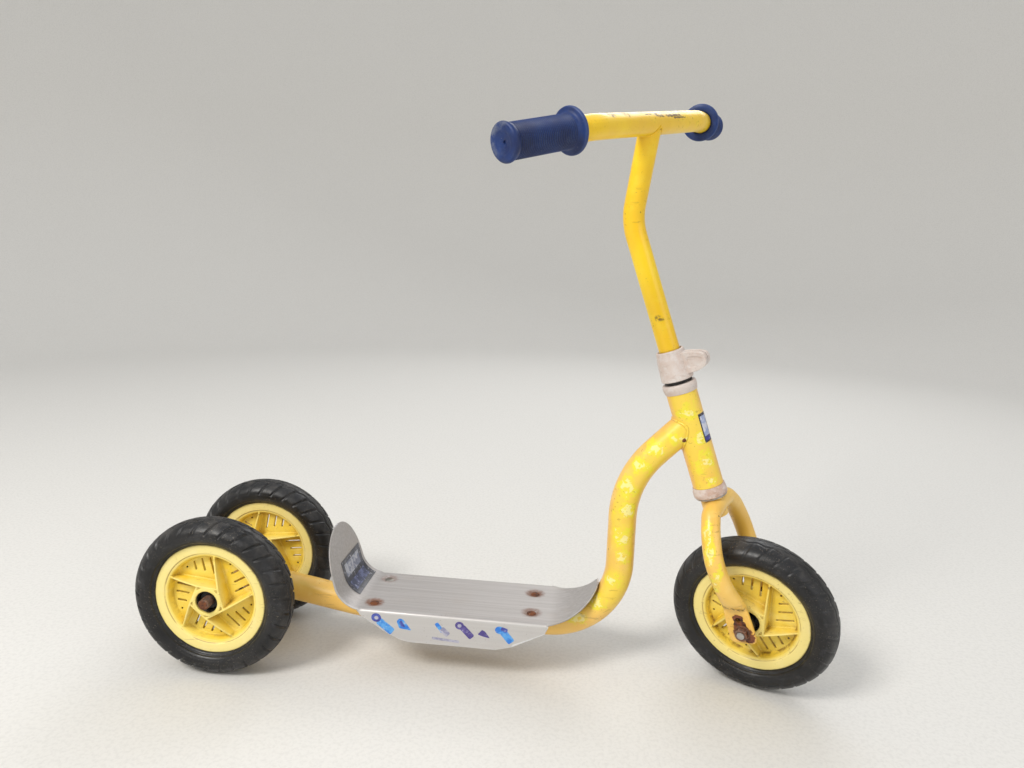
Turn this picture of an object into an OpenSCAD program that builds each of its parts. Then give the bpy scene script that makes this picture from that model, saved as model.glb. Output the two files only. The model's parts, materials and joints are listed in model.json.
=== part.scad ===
// Child's three-wheeled kick scooter: welded tube frame, folded sheet deck
// with a heel stop, raked steering with a height-adjustable handlebar, and
// three identical pinwheel wheels. Millimetres. X is forward, Y is the
// rider's left, Z is up. The origin is on the floor, on the centre plane,
// half way between the front and rear axles.

/* [Wheels] */
// Distance between the rear axle and the front axle, wheel straight ahead
wheelbase = 598; // [560:1:640]
// Distance between the middles of the two rear wheels
track = 134; // [134:1:150]
// Outer diameter of the tyres
tyre_d = 180; // [176:1:184]
// Width of the tyres
tyre_w = 42; // [38:1:43]
// Diameter of the wheel's outer lip, where the tyre starts
rim_d = 128; // [124:1:132]
// Width of the wheel over its two lips
rim_w = 25; // [22:1:28]
// Length of the wheel's hub
hub_len = 39; // [37:1:40]
// Number of slots between two vanes of a wheel
slot_count = 4; // [1:1:4]

/* [Steering] */
// How far the steering axis leans back from vertical, in degrees
rake = 19.5; // [18:0.5:21]
// How far the front axle is ahead of the steering axis
fork_offset = 8.6; // [7:0.1:11]
// How far the fork is turned from straight ahead, in degrees (minus is right)
steer_turn = -27.6; // [-45:0.1:45]
// How much further than the fork the handlebar is turned in its clamp
bar_turn = -3; // [-6:0.1:6]

/* [Handlebar] */
// Height of the crossbar along the steering axis, above the front axle
bar_height = 532.5; // [520:0.5:560]
// How far the crossbar is ahead of the steering axis
bar_reach = 48.3; // [40:0.1:56]
// Length of each half of the crossbar, from the middle to the grip's end
bar_half = 216; // [210:1:222]
// Straight half length in the middle of the crossbar
bar_straight = 115; // [105:1:118]
// How far the two ends of the crossbar sweep back, in degrees
bar_sweep = 14; // [6:1:16]
// Outer diameter of the stem and the crossbar
bar_d = 22.2; // [22:0.1:22.6]
// Length of each grip
grip_len = 77; // [72:1:84]

/* [Frame] */
// Outer diameter of the main tube
main_d = 31; // [28:1:32]
// Outer diameter of the head tube
head_d = 33; // [32:0.5:36]
// Length of the head tube
head_len = 107; // [100:1:110]
// Outer diameter of the cross tube that carries the rear axle
axle_tube_d = 27; // [24:1:30]

/* [Deck] */
// Height of the deck's top above the floor
deck_h = 77; // [76:0.5:80]
// Width of the deck
deck_w = 97; // [90:1:100]
// Thickness of the deck's sheet
sheet = 2; // [1.5:0.1:2.5]
// Depth of the turned-down side flanges
flange = 35; // [28:1:38]
// Height of the heel stop above the deck
heel_h = 79; // [70:1:84]

/* [Hidden] */
$fn = 64;

yellow = "#f4c430";
pale = "#efd873";

axle_h = tyre_d / 2;
rear_x = -wheelbase / 2;
// Foot of the steering axis beside the front axle
foot_x = wheelbase / 2 - fork_offset * cos(rake);
foot_z = axle_h - fork_offset * sin(rake);
steerer_d = 25.4;
axle_d = 12;
bolt_d = 8;
fit = 0.05;
head_lo = 156;
head_hi = head_lo + head_len;
cup_d = 36.4;
collar_lo = head_hi + 14;
collar_hi = collar_lo + 33;
leg_d = 20;
leg_s = 37;
drop_t = 5;
hub_r = 17;
bush_r = 12.5;
web_r = 47;
lip_r = 53;

// Vector helpers
function unit(v) = v / norm(v);
function frame_m(x, y, z, o) = [[x[0], y[0], z[0], o[0]],
  [x[1], y[1], z[1], o[1]], [x[2], y[2], z[2], o[2]], [0, 0, 0, 1]];
function side_of(d) = abs(d[2]) > 0.9 ? [1, 0, 0] : [0, 0, 1];
function turn_at(p, i) = acos(unit(p[i] - p[i-1]) * unit(p[i+1] - p[i]));
function cut_at(p, r, i) = (i <= 0 || i >= len(p) - 1) ? 0 : r[i] * tan(turn_at(p, i) / 2);

// A rod of radius q from a to b
module rod(a, b, q) {
  d = unit(b - a);
  x = unit(cross(side_of(d), d));
  multmatrix(frame_m(x, cross(d, x), d, a)) cylinder(r = q, h = norm(b - a));
}

// A bent rod of radius q through points p, with bend radius r[i] at point i.
// The bends stand 0.05 proud, as a bent tube does, and the straights run
// 1 mm into them.
module bent_rod(p, r, q) {
  for (i = [0 : len(p) - 2]) {
    d = unit(p[i+1] - p[i]);
    a = i == 0 ? 0 : 1;
    b = i == len(p) - 2 ? 0 : 1;
    rod(p[i] + d * (cut_at(p, r, i) - a), p[i+1] - d * (cut_at(p, r, i + 1) - b), q);
  }
  for (i = [1 : len(p) - 2]) {
    d1 = unit(p[i] - p[i-1]);
    d2 = unit(p[i+1] - p[i]);
    n = unit(d2 - d1 * (d1 * d2));
    c = p[i] - d1 * cut_at(p, r, i) + n * r[i];
    multmatrix(frame_m(-n, d1, cross(-n, d1), c))
      rotate_extrude(angle = turn_at(p, i), $fn = 128) translate([r[i], 0]) circle(r = q + 0.05, $fn = 48);
  }
}

// Frames: rear axle, steering axis (u forward, s left, v up the axis)
module at_rear() translate([rear_x, 0, axle_h]) children();
module at_steer(turn = 0) translate([foot_x, 0, foot_z]) rotate([0, -rake, 0]) rotate([0, 0, turn]) children();
module at_fork() at_steer(steer_turn) children();
module at_bar() at_steer(steer_turn + bar_turn) children();
// Turns a shape built round Z so that its axis lies along Y
module along_y() rotate([-90, 0, 0]) children();
module ring(r1, r2, z1, z2) translate([0, 0, z1]) difference() {
  cylinder(r = r2, h = z2 - z1);
  translate([0, 0, -1]) cylinder(r = r1, h = z2 - z1 + 2);
}

// ---------- Frame ----------
module head_tube() color(yellow) at_steer() ring(15, head_d / 2, head_lo, head_hi);

// Path of the main tube: back along the floor side, under the deck, up and
// over to the head tube
under_z = deck_h - sheet - main_d / 2 - 4 - axle_h;
join_v = 228;
join = [foot_x - join_v * sin(rake) - rear_x, 0, foot_z + join_v * cos(rake) - axle_h];
rise_x = wheelbase - 150;
main_path = [[0, 0, -6], [150, 0, under_z + 3], [rise_x, 0, under_z],
  [rise_x, 0, 144], join];
main_bends = [0, 160, 79, 110, 0];
module main_tube() color(yellow) difference() {
  at_rear() bent_rod(main_path, main_bends, main_d / 2);
  at_rear() bent_rod(main_path, main_bends, main_d / 2 - 1.6);
  at_steer() translate([0, 0, 120]) cylinder(r = head_d / 2, h = 190);
  at_rear() translate([0, -80, 0]) along_y() cylinder(r = axle_tube_d / 2, h = 160);
  at_rear() translate([-80, -40, -50]) cube([80, 80, 100]);
}
tube_half = track / 2 - hub_len / 2 - 2;
module rear_axle_tube() color(yellow) at_rear() along_y()
  ring(axle_d / 2, axle_tube_d / 2, -tube_half, tube_half);

// Deck brackets: a saddle on the tube with a flat top and two ears
screw_front_x = 352;
screw_rear_x = 172;
screw_front_y = 23;
screw_rear_y = 30;
module deck_bracket(x, half, yy) color(yellow) difference() {
  at_rear() translate([x, 0, 0]) union() {
    translate([-14, -half, deck_h - sheet - axle_h - 3]) cube([28, 2 * half, 3]);
    for (k = [-1, 1]) translate([-14, k > 0 ? main_d / 2 + 0.5 : -main_d / 2 - 2.5, under_z - 6]) cube([28, 2, deck_h - sheet - axle_h - under_z + 4]);
  }
  at_rear() bent_rod(main_path, main_bends, main_d / 2 + 0.01);
  at_rear() for (k = [-1, 1]) translate([x, k * yy, -60]) cylinder(r = 3, h = 60);
}
module front_deck_bracket() deck_bracket(screw_front_x, 34, screw_front_y);
module rear_deck_bracket() deck_bracket(screw_rear_x, 41, screw_rear_y);

// ---------- Deck ----------
heel_r = 30;
heel_lean = 15;
flat_x0 = 162;
flat_x1 = 372;
tongue_r = 57;
tongue_end = 66;
top_z = deck_h - axle_h;
function arc_pts(c, r, a0, a1, n) = [for (i = [0 : n]) c + r * [cos(a0 + (a1 - a0) * i / n), sin(a0 + (a1 - a0) * i / n)]];
heel_turn = 90 - heel_lean;
heel_c = [flat_x0, top_z + heel_r];
tongue_c = [flat_x1, top_z + tongue_r];
heel_run = (heel_h - heel_r * (1 - cos(heel_turn))) / sin(heel_turn);
function heel_end(r) = heel_c + r * [-sin(heel_turn), -cos(heel_turn)] + heel_run * [-cos(heel_turn), sin(heel_turn)];
// Side profile of the sheet: heel stop, flat, curled tongue
module sheet_profile() polygon(concat(
  [heel_end(heel_r)], arc_pts(heel_c, heel_r, 270 - heel_turn, 270, 12),
  arc_pts(tongue_c, tongue_r, 270, 270 + tongue_end, 14),
  arc_pts(tongue_c, tongue_r + sheet, 270 + tongue_end, 270, 14),
  arc_pts(heel_c, heel_r + sheet, 270, 270 - heel_turn, 12), [heel_end(heel_r + sheet)]));
// Plan outline: straight sides, tongue rounding in to a blunt tip
module deck_plan() union() {
  translate([80, -deck_w / 2]) square([flat_x1 - 80, deck_w]);
  polygon([[flat_x1 - 1, -deck_w / 2], [flat_x1, -deck_w / 2], [382, -43], [394, -37], [406, -29], [416, -20], [422, -11], [425, 0],
    [422, 11], [416, 20], [406, 29], [394, 37], [382, 43], [flat_x1, deck_w / 2], [flat_x1 - 1, deck_w / 2]]);
}
// Heel stop outline, looking forward: straight sides and a round top
module heel_outline() union() {
  translate([-deck_w / 2, -60]) square([deck_w, 60 + top_z + 28]);
  translate([0, top_z + heel_h - 42]) circle(r = 42, $fn = 96);
  translate([-deck_w / 2, top_z]) square([deck_w, 30]);
}
module deck_sheet() intersection() {
  translate([0, 60, 0]) rotate([90, 0, 0]) linear_extrude(120) sheet_profile();
  translate([0, 0, -60]) linear_extrude(180) deck_plan();
  union() {
    translate([80, 0, 0]) rotate([90, 0, 90]) linear_extrude(flat_x0 - 80) heel_outline();
    translate([flat_x0, -60, -60]) cube([300, 120, 180]);
  }
}
// Side flange: shallow at both ends, full depth in the middle
module flange_shape() polygon([[flat_x0 - 2, top_z], [flat_x0 - 2, top_z - 7], [192, top_z - 26],
  [208, top_z - flange + 2], [222, top_z - flange], [316, top_z - flange], [333, top_z - flange + 5], [flat_x1 - 2, top_z - 11], [flat_x1 - 2, top_z]]);
module deck_plate() color("#a8a9a6") difference() {
  at_rear() union() {
    deck_sheet();
    for (k = [-1, 1]) translate([0, k > 0 ? deck_w / 2 : -deck_w / 2 + sheet, 0]) rotate([90, 0, 0]) linear_extrude(sheet) flange_shape();
  }
  at_rear() for (k = [-1, 1]) {
    translate([screw_front_x, k * screw_front_y, -60]) cylinder(r = 3, h = 100);
    translate([screw_rear_x, k * screw_rear_y, -60]) cylinder(r = 3, h = 100);
    // dimples that the screw heads sit in
    translate([screw_front_x, k * screw_front_y, top_z - 1.3]) cylinder(r1 = 6, r2 = 9, h = 2.6);
    translate([screw_rear_x, k * screw_rear_y, top_z - 1.3]) cylinder(r1 = 6, r2 = 9, h = 2.6);
  }
}
screw_at = [[screw_front_x, screw_front_y], [screw_front_x, -screw_front_y], [screw_rear_x, screw_rear_y], [screw_rear_x, -screw_rear_y]];
module deck_screws() color("#7a5a45") at_rear() for (p = screw_at) translate([p[0], p[1], 0]) {
  translate([0, 0, top_z - 14]) cylinder(r = 2.9, h = 13);
  translate([0, 0, top_z - 1.3]) difference() {
    cylinder(r = 5.4, h = 1.2);
    translate([-3, -0.6, 0.6]) cube([6, 1.2, 1]);
    translate([-0.6, -3, 0.6]) cube([1.2, 6, 1]);
  }
}
module deck_nuts() color("#8a8a86") at_rear() for (p = screw_at) translate([p[0], p[1], top_z - sheet - 3 - 5]) difference() {
  cylinder(r = 5.6, h = 5, $fn = 6);
  translate([0, 0, -1]) cylinder(r = 2.9, h = 7);
}

// ---------- Head bearings ----------
module upper_bearing_cup() color("#b9aca4") at_steer() difference() {
  union() {
    translate([0, 0, head_hi]) cylinder(r1 = head_d / 2 + 0.4, r2 = cup_d / 2, h = 6);
    translate([0, 0, head_hi + 6]) cylinder(r = cup_d / 2, h = 4.5);
    translate([0, 0, head_hi - 12]) cylinder(r = 15, h = 12);
  }
  translate([0, 0, head_hi - 13]) cylinder(r = steerer_d / 2 + fit, h = 30);
}
module lower_bearing_cup() color("#b9aca4") at_steer() difference() {
  union() {
    translate([0, 0, head_lo - 7]) cylinder(r1 = cup_d / 2, r2 = head_d / 2 + 0.4, h = 7);
    translate([0, 0, head_lo - 12]) cylinder(r = cup_d / 2, h = 5);
    translate([0, 0, head_lo]) cylinder(r = 15, h = 12);
  }
  translate([0, 0, head_lo - 13]) cylinder(r = steerer_d / 2 + fit, h = 30);
}

// ---------- Rear axle ----------
rear_end = track / 2 + 27;
module rear_axle() color("#6e4a38") at_rear() along_y() union() {
  translate([0, 0, -rear_end + 1.5]) cylinder(r = axle_d / 2, h = 2 * rear_end - 3);
  for (k = [0, 1]) mirror([0, 0, k]) translate([0, 0, rear_end - 1.5]) cylinder(r1 = axle_d / 2, r2 = axle_d / 2 - 1.5, h = 1.5);
}
module rear_push_nuts() color("#5d4a40") at_rear() along_y() for (k = [0, 1]) mirror([0, 0, k])
  ring(axle_d / 2, 10, track / 2 + 11, track / 2 + 12.6);
module rear_washers() color("#55504a") at_rear() along_y() for (k = [0, 1]) mirror([0, 0, k])
  ring(axle_d / 2, 11, tube_half, tube_half + 1.6);

// ---------- Fork ----------
stub_v = 120;
module steerer_tube() color(yellow) at_fork() difference() {
  translate([0, 0, stub_v]) cylinder(r = steerer_d / 2, h = collar_hi - 2 - stub_v);
  translate([0, 0, stub_v + 3]) cylinder(r = bar_d / 2 + fit, h = 300);
}
// One leg: welded to the side of the steerer, splaying out past the tyre,
// then bending forward to a flattened drop-out end
leg_path = [[9, 8, 134], [5.5, 37, 121], [4.5, 50.5, 90], [6.5, 49, 58], [7.8, 41.4, 34]];
leg_bends = [0, 34, 60, 60, 0];
// Drop-out end: the blade seen from the side, and how it thins down
module drop_out() intersection() {
  translate([fork_offset - 3, 60, 0]) rotate([90, 0, 0]) linear_extrude(60)
    polygon([[-7, 36], [11.8, 36], [13.4, 27], [15.2, 12], [15.6, -9], [11, -13.5], [-9, -13.5], [-13, -9], [-12.8, 10], [-10.4, 26]]);
  translate([-20, 0, 0]) rotate([90, 0, 90]) linear_extrude(60)
    polygon([[32.4, 36], [leg_s - drop_t / 2, 23], [leg_s - drop_t / 2, -20], [leg_s + drop_t / 2, -20], [leg_s + drop_t / 2, 23], [51, 36]]);
}
module fork_leg(k) color(yellow) at_fork() difference() {
  mirror([0, k > 0 ? 0 : 1, 0]) difference() {
    union() {
      difference() {
        bent_rod(leg_path, leg_bends, leg_d / 2);
        bent_rod(leg_path, leg_bends, leg_d / 2 - 1.5);
      }
      drop_out();
    }
    // axle hole and the hook hole above it
    translate([fork_offset, 0, 0]) along_y() cylinder(r = bolt_d / 2, h = 80);
    translate([fork_offset - 1, 0, 14]) along_y() cylinder(r = 3, h = 80);
    // room for the crown end under the lower cup
    translate([-40, -40, 142.5]) cube([120, 120, 40]);
  }
  cylinder(r = steerer_d / 2, h = 400);
}
module fork_leg_right() fork_leg(-1);
module fork_leg_left() fork_leg(1);
module fork_race() color("#8f867e") at_fork() ring(steerer_d / 2, 16.8, 142.5, 143.7);
module seal_ring() color("#26221f") at_fork() ring(steerer_d / 2, 14.6, head_hi + 10.8, collar_lo);

drop_in = leg_s - drop_t / 2;
drop_outer = leg_s + drop_t / 2;
module front_axle() color("#7d6a5e") at_fork() translate([fork_offset, 0, 0]) along_y()
  translate([0, 0, -47]) cylinder(r = bolt_d / 2, h = 94);
module front_axle_nuts() color("#6a4636") at_fork() translate([fork_offset, 0, 0]) along_y() for (k = [0, 1]) mirror([0, 0, k]) {
  ring(bolt_d / 2, 8, drop_outer, drop_outer + 1.2);
  translate([0, 0, drop_outer + 1.2]) difference() {
    cylinder(r = 7.5, h = 5.6, $fn = 6);
    translate([0, 0, -1]) cylinder(r = bolt_d / 2, h = 8);
  }
}
// Axle sleeve that the front wheel turns on, with a shoulder at each side
module front_spacers() color("#2b2b2b") at_fork() translate([fork_offset, 0, 0]) along_y() difference() {
  union() {
    translate([0, 0, -drop_in]) cylinder(r = axle_d / 2, h = 2 * drop_in);
    for (k = [0, 1]) mirror([0, 0, k]) translate([0, 0, hub_len / 2 + 0.5]) cylinder(r = 8.5, h = drop_in - hub_len / 2 - 0.5);
  }
  translate([0, 0, -60]) cylinder(r = bolt_d / 2, h = 120);
}

// ---------- Clamp ----------
module clamp_collar() color("#c9c4bd") at_fork() difference() {
  union() {
    translate([0, 0, collar_lo]) cylinder(r1 = 17.3, r2 = 16.6, h = 20);
    translate([0, 0, collar_lo + 20]) cylinder(r1 = 16.6, r2 = 14.6, h = collar_hi - collar_lo - 20);
    translate([0, 7, 0]) rotate([90, 0, 0]) linear_extrude(14) union() {
      polygon([[6, collar_lo + 4], [30, collar_lo + 7], [30, collar_lo + 25], [6, collar_lo + 29]]);
      translate([30, collar_lo + 16]) circle(r = 9.2, $fn = 48);
    }
  }
  translate([0, 0, collar_lo - 1]) cylinder(r = steerer_d / 2, h = collar_hi - collar_lo - 1);
  translate([0, 0, collar_hi - 3]) cylinder(r = bar_d / 2 + 0.4, h = 5);
  // the split that lets the collar close
  translate([10, -0.8, collar_lo - 1]) cube([40, 1.6, 60]);
  translate([30, 20, collar_lo + 16]) rotate([90, 0, 0]) cylinder(r = 2.6, h = 40);
}
module clamp_bolt() color("#6f6a66") at_fork() translate([30, 0, collar_lo + 16]) along_y() union() {
  translate([0, 0, -7]) cylinder(r = 2.5, h = 17);
  translate([0, 0, 7]) cylinder(r = 4.4, h = 3.4);
  translate([0, 0, -9.6]) cylinder(r = 4.2, h = 2.6, $fn = 6);
}

// ---------- Handlebar ----------
stem_bend = bar_height - 82;
stem_top = bar_height - 2;
// The stem stops 4 mm short of the crossbar's middle, coped round it
stem_path = [[0, 0, 188], [0, 0, stem_bend], toward([bar_reach, 0, bar_height], [0, 0, stem_bend], 4)];
stem_bends = [0, 60, 0];
bar_path = [[bar_reach - (bar_half - bar_straight) * sin(bar_sweep), -bar_straight - (bar_half - bar_straight) * cos(bar_sweep), bar_height],
  [bar_reach, -bar_straight, bar_height], [bar_reach, bar_straight, bar_height],
  [bar_reach - (bar_half - bar_straight) * sin(bar_sweep), bar_straight + (bar_half - bar_straight) * cos(bar_sweep), bar_height]];
module handlebar_stem() color(yellow) at_bar() difference() {
  bent_rod(stem_path, stem_bends, bar_d / 2);
  bent_rod([stem_path[0] - [0, 0, 1], stem_path[1], stem_path[2]], stem_bends, bar_d / 2 - 1.6);
  translate([bar_reach, 60, bar_height]) rotate([90, 0, 0]) cylinder(r = bar_d / 2, h = 120);
}
// Crossbar, short of the grips' closed ends
function toward(a, b, t) = a + unit(b - a) * t;
function bar_line(t) = [toward(bar_path[0], bar_path[1], t), bar_path[1], bar_path[2], toward(bar_path[3], bar_path[2], t)];
module handlebar_crossbar() color(yellow) at_bar() difference() {
  bent_rod(bar_line(4), [0, 90, 90, 0], bar_d / 2);
  bent_rod(bar_line(3), [0, 90, 90, 0], bar_d / 2 - 1.6);
}
// Grip: fine ringed body, wide inner flange, flared closed end with a vent
module grip_shape() difference() {
  rotate_extrude($fn = 96) polygon(concat(
    [[0, 0], [12, 0], [15.8, 0.8], [16, 3], [14.6, 5.5]],
    [for (i = [0 : 21]) each [[14.5, 7 + i * 3], [14.0, 8.5 + i * 3]]],
    [[14.6, grip_len - 7], [16.5, grip_len - 4.5], [20, grip_len - 4], [20, grip_len], [bar_d / 2, grip_len], [0, grip_len]]));
  translate([0, 0, 4]) cylinder(r = bar_d / 2, h = grip_len);
  translate([0, 0, -1]) cylinder(r1 = 8.5, r2 = 6, h = 2.4);
  translate([0, 0, -1]) cylinder(r = 1.6, h = 8);
}
module grip_on(a, b) {
  d = unit(b - a);
  x = unit(cross([0, 0, 1], d));
  color("#1f3566") at_bar() multmatrix(frame_m(x, cross(d, x), d, a)) grip_shape();
}
module grip_right() grip_on(bar_path[0], bar_path[1]);
module grip_left() grip_on(bar_path[3], bar_path[2]);

// ---------- Wheels ----------
// Built round Y with the outer face towards -Y
module tyre_shape() along_y() rotate_extrude($fn = 128) polygon(concat(tyre_side(-1, [0 : len(tyre_pts) - 1]), tyre_side(1, [len(tyre_pts) - 1 : -1 : 0])));
// Cross-section of the tyre: share of its height, share of its half width
tyre_pts = [[0, 0.6], [0.1, 0.79], [0.23, 0.92], [0.38, 0.99], [0.5, 1], [0.65, 0.95], [0.81, 0.79], [0.92, 0.55], [0.985, 0.29], [1, 0.1]];
tyre_h = (tyre_d - rim_d) / 2;
function tyre_side(k, order) = [for (i = order) [rim_d / 2 + tyre_pts[i][0] * tyre_h, k * max(tyre_pts[i][1] * tyre_w / 2, i == 0 ? rim_w / 2 : 0)]];
module vane(a) rotate([0, 0, a]) translate([-13, hub_r - 1.6, 0]) rotate([90, 0, 0]) translate([0, 0, -2.2]) linear_extrude(2.2)
  polygon([[0, -hub_len / 2 + 0.5], [26, -hub_len / 2 + 0.5], [60.6, -rim_w / 2 + 2.2], [60.6, rim_w / 2 - 2.2], [26, hub_len / 2 - 0.5], [0, hub_len / 2 - 0.5]]);
module rim_shape() along_y() union() {
  // dished rim with its wide lip
  rotate_extrude($fn = 128) polygon([[web_r, -4], [web_r + 1, -rim_w / 2 + 2], [lip_r, -rim_w / 2], [rim_d / 2, -rim_w / 2],
    [rim_d / 2, rim_w / 2], [lip_r, rim_w / 2], [web_r + 1, rim_w / 2 - 2], [web_r, 4]]);
  ring(bush_r, hub_r, -hub_len / 2, hub_len / 2);
  // web with its slots
  translate([0, 0, -2.4]) linear_extrude(4.8) difference() {
    circle(r = web_r + 3, $fn = 128);
    circle(r = hub_r - 2);
    for (k = [0 : 4]) rotate(k * 72) for (j = [0 : slot_count - 1])
      translate([slot_to(j) - slot_len(j), hub_r - 11 - j * 10]) square([slot_len(j), 1.7]);
  }
  for (k = [0 : 4]) vane(k * 72);
}
// Slots run beside a vane, each shorter than the one before it
function slot_to(j) = sqrt(pow(web_r - 2, 2) - pow(max(abs(hub_r - 11 - j * 10), abs(hub_r - 9.3 - j * 10)), 2));
function slot_len(j) = j > 2 ? 1.8 : 20 - j * 4.6;
module bush_shape() along_y() difference() {
  translate([0, 0, -10]) cylinder(r = bush_r, h = 20);
  translate([0, 0, -12]) cylinder(r = axle_d / 2 + fit, h = 24);
}
module front_at() at_fork() translate([fork_offset, 0, 0]) rotate([0, 1.4, 0]) children();
module right_at() at_rear() translate([0, -track / 2, 0]) rotate([0, -30, 0]) children();
module left_at() at_rear() translate([0, track / 2, 0]) rotate([0, 29.5, 0]) rotate([0, 0, 180]) children();
module front_tyre() color("#232323") front_at() tyre_shape();
module front_rim() color(pale) front_at() rim_shape();
module front_bush() color("#1c1c1c") front_at() bush_shape();
module rear_tyre_right() color("#232323") right_at() tyre_shape();
module rear_rim_right() color(pale) right_at() rim_shape();
module rear_bush_right() color("#1c1c1c") right_at() bush_shape();
module rear_tyre_left() color("#232323") left_at() tyre_shape();
module rear_rim_left() color(pale) left_at() rim_shape();
module rear_bush_left() color("#1c1c1c") left_at() bush_shape();

head_tube();
main_tube();
rear_axle_tube();
front_deck_bracket();
rear_deck_bracket();
deck_plate();
deck_screws();
deck_nuts();
upper_bearing_cup();
lower_bearing_cup();
rear_axle();
rear_push_nuts();
rear_washers();
steerer_tube();
fork_leg_right();
fork_leg_left();
fork_race();
seal_ring();
front_axle();
front_axle_nuts();
front_spacers();
clamp_collar();
clamp_bolt();
handlebar_stem();
handlebar_crossbar();
grip_right();
grip_left();
front_tyre();
front_rim();
front_bush();
rear_tyre_right();
rear_rim_right();
rear_bush_right();
rear_tyre_left();
rear_rim_left();
rear_bush_left();
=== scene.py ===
"""Looks for a child's three-wheeled kick scooter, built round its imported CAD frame.
Lengths in the helpers are millimetres; every Blender object is in metres in the frame's own axes."""
import json
import math
import random

import bmesh
import bpy
import numpy as np
from mathutils import Matrix, Vector, noise

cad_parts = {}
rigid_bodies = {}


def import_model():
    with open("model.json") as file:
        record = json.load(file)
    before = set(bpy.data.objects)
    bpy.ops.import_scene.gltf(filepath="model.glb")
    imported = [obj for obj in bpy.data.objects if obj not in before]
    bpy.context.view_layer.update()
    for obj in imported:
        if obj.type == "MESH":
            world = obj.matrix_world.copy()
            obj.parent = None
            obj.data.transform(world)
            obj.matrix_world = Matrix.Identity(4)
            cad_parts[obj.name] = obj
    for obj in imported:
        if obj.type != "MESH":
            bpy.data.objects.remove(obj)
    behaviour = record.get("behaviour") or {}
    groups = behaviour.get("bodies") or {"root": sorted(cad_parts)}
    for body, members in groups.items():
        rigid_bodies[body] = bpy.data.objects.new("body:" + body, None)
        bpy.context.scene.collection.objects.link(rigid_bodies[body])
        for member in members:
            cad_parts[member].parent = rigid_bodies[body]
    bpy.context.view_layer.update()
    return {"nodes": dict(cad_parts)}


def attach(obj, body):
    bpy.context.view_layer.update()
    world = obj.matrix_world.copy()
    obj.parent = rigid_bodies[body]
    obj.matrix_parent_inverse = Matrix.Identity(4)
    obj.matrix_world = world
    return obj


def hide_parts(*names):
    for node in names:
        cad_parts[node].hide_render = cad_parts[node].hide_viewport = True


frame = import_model()
NODES = frame["nodes"]
MM = 0.001
random.seed(7)

# ---------------------------------------------------------------- frames
RAKE, OFFSET, TURN_FORK, TURN_BAR = 19.5, 8.6, -27.6, -30.6
RC, RS = math.cos(math.radians(RAKE)), math.sin(math.radians(RAKE))
FOOT = Vector((299 - OFFSET * RC, 0, 90 - OFFSET * RS))


def R(axis, deg):
    return Matrix.Rotation(math.radians(deg), 4, axis)


def T(x, y, z):
    return Matrix.Translation((x, y, z))


def steer(turn):
    return Matrix.Translation(FOOT) @ R("Y", -RAKE) @ R("Z", turn)


M_HEAD = steer(0)
M_FORK = steer(TURN_FORK)
M_BAR = steer(TURN_BAR)
M_REAR = T(-299, 0, 90)
ALONG_Y = R("X", -90)
WHEELS = {
    "front": M_FORK @ T(OFFSET, 0, 0) @ R("Y", 1.4) @ ALONG_Y,
    "right": M_REAR @ T(0, -67, 0) @ R("Y", -30) @ ALONG_Y,
    "left": M_REAR @ T(0, 67, 0) @ R("Y", 29.5) @ R("Z", 180) @ ALONG_Y,
}


def upright(m):
    """Splits a wheel's place into a frame with its X level, and the spin that is left about the axle,
    so that a piece's own box lies square to the object's."""
    z = m.to_3x3() @ Vector((0, 0, 1))
    x = Vector((0, 0, 1)).cross(z).normalized()
    y = z.cross(x)
    p = Matrix(((x.x, y.x, z.x, m[0][3]), (x.y, y.y, z.y, m[1][3]), (x.z, y.z, z.z, m[2][3]), (0, 0, 0, 1)))
    return p, p.inverted() @ m


# ---------------------------------------------------------------- mesh helpers
def add(name, verts, faces, mat, body, at=None, slot=None, swaps=(), sharp=40, place=None):
    """A mesh object from points in mm. at moves the points; place moves the object instead, so that
    its own coordinates stay local."""
    v = np.asarray(verts, dtype=float)
    if at is not None:
        m = np.array(at)
        v = v @ m[:3, :3].T + m[:3, 3]
    me = bpy.data.meshes.new(name)
    me.from_pydata((v * MM).tolist(), [], [tuple(int(i) for i in f) for f in faces])
    me.validate(clean_customdata=False)
    bm = bmesh.new()
    bm.from_mesh(me)
    bmesh.ops.remove_doubles(bm, verts=bm.verts, dist=1e-6)
    bmesh.ops.recalc_face_normals(bm, faces=bm.faces)
    bm.to_mesh(me)
    bm.free()
    return wrap(name, me, mat, body, swaps, sharp, place)


def wrap(name, me, mat, body, swaps=(), sharp=40, place=None):
    for p in me.polygons:
        p.use_smooth = True
    if sharp:
        me.set_sharp_from_angle(angle=math.radians(sharp))
    o = bpy.data.objects.new(name, me)
    bpy.context.scene.collection.objects.link(o)
    if place is not None:
        m = place.copy()
        m.translation = m.translation * MM
        o.matrix_world = m
    if mat is not None:
        me.materials.clear()
        me.materials.append(mat)
    bpy.context.view_layer.update()
    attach(o, body)
    for s in swaps:
        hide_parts(s)
    return o


def mod(o, kind, **kw):
    m = o.modifiers.new(kind.lower(), kind)
    for k, v in kw.items():
        setattr(m, k, v)
    return m


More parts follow.
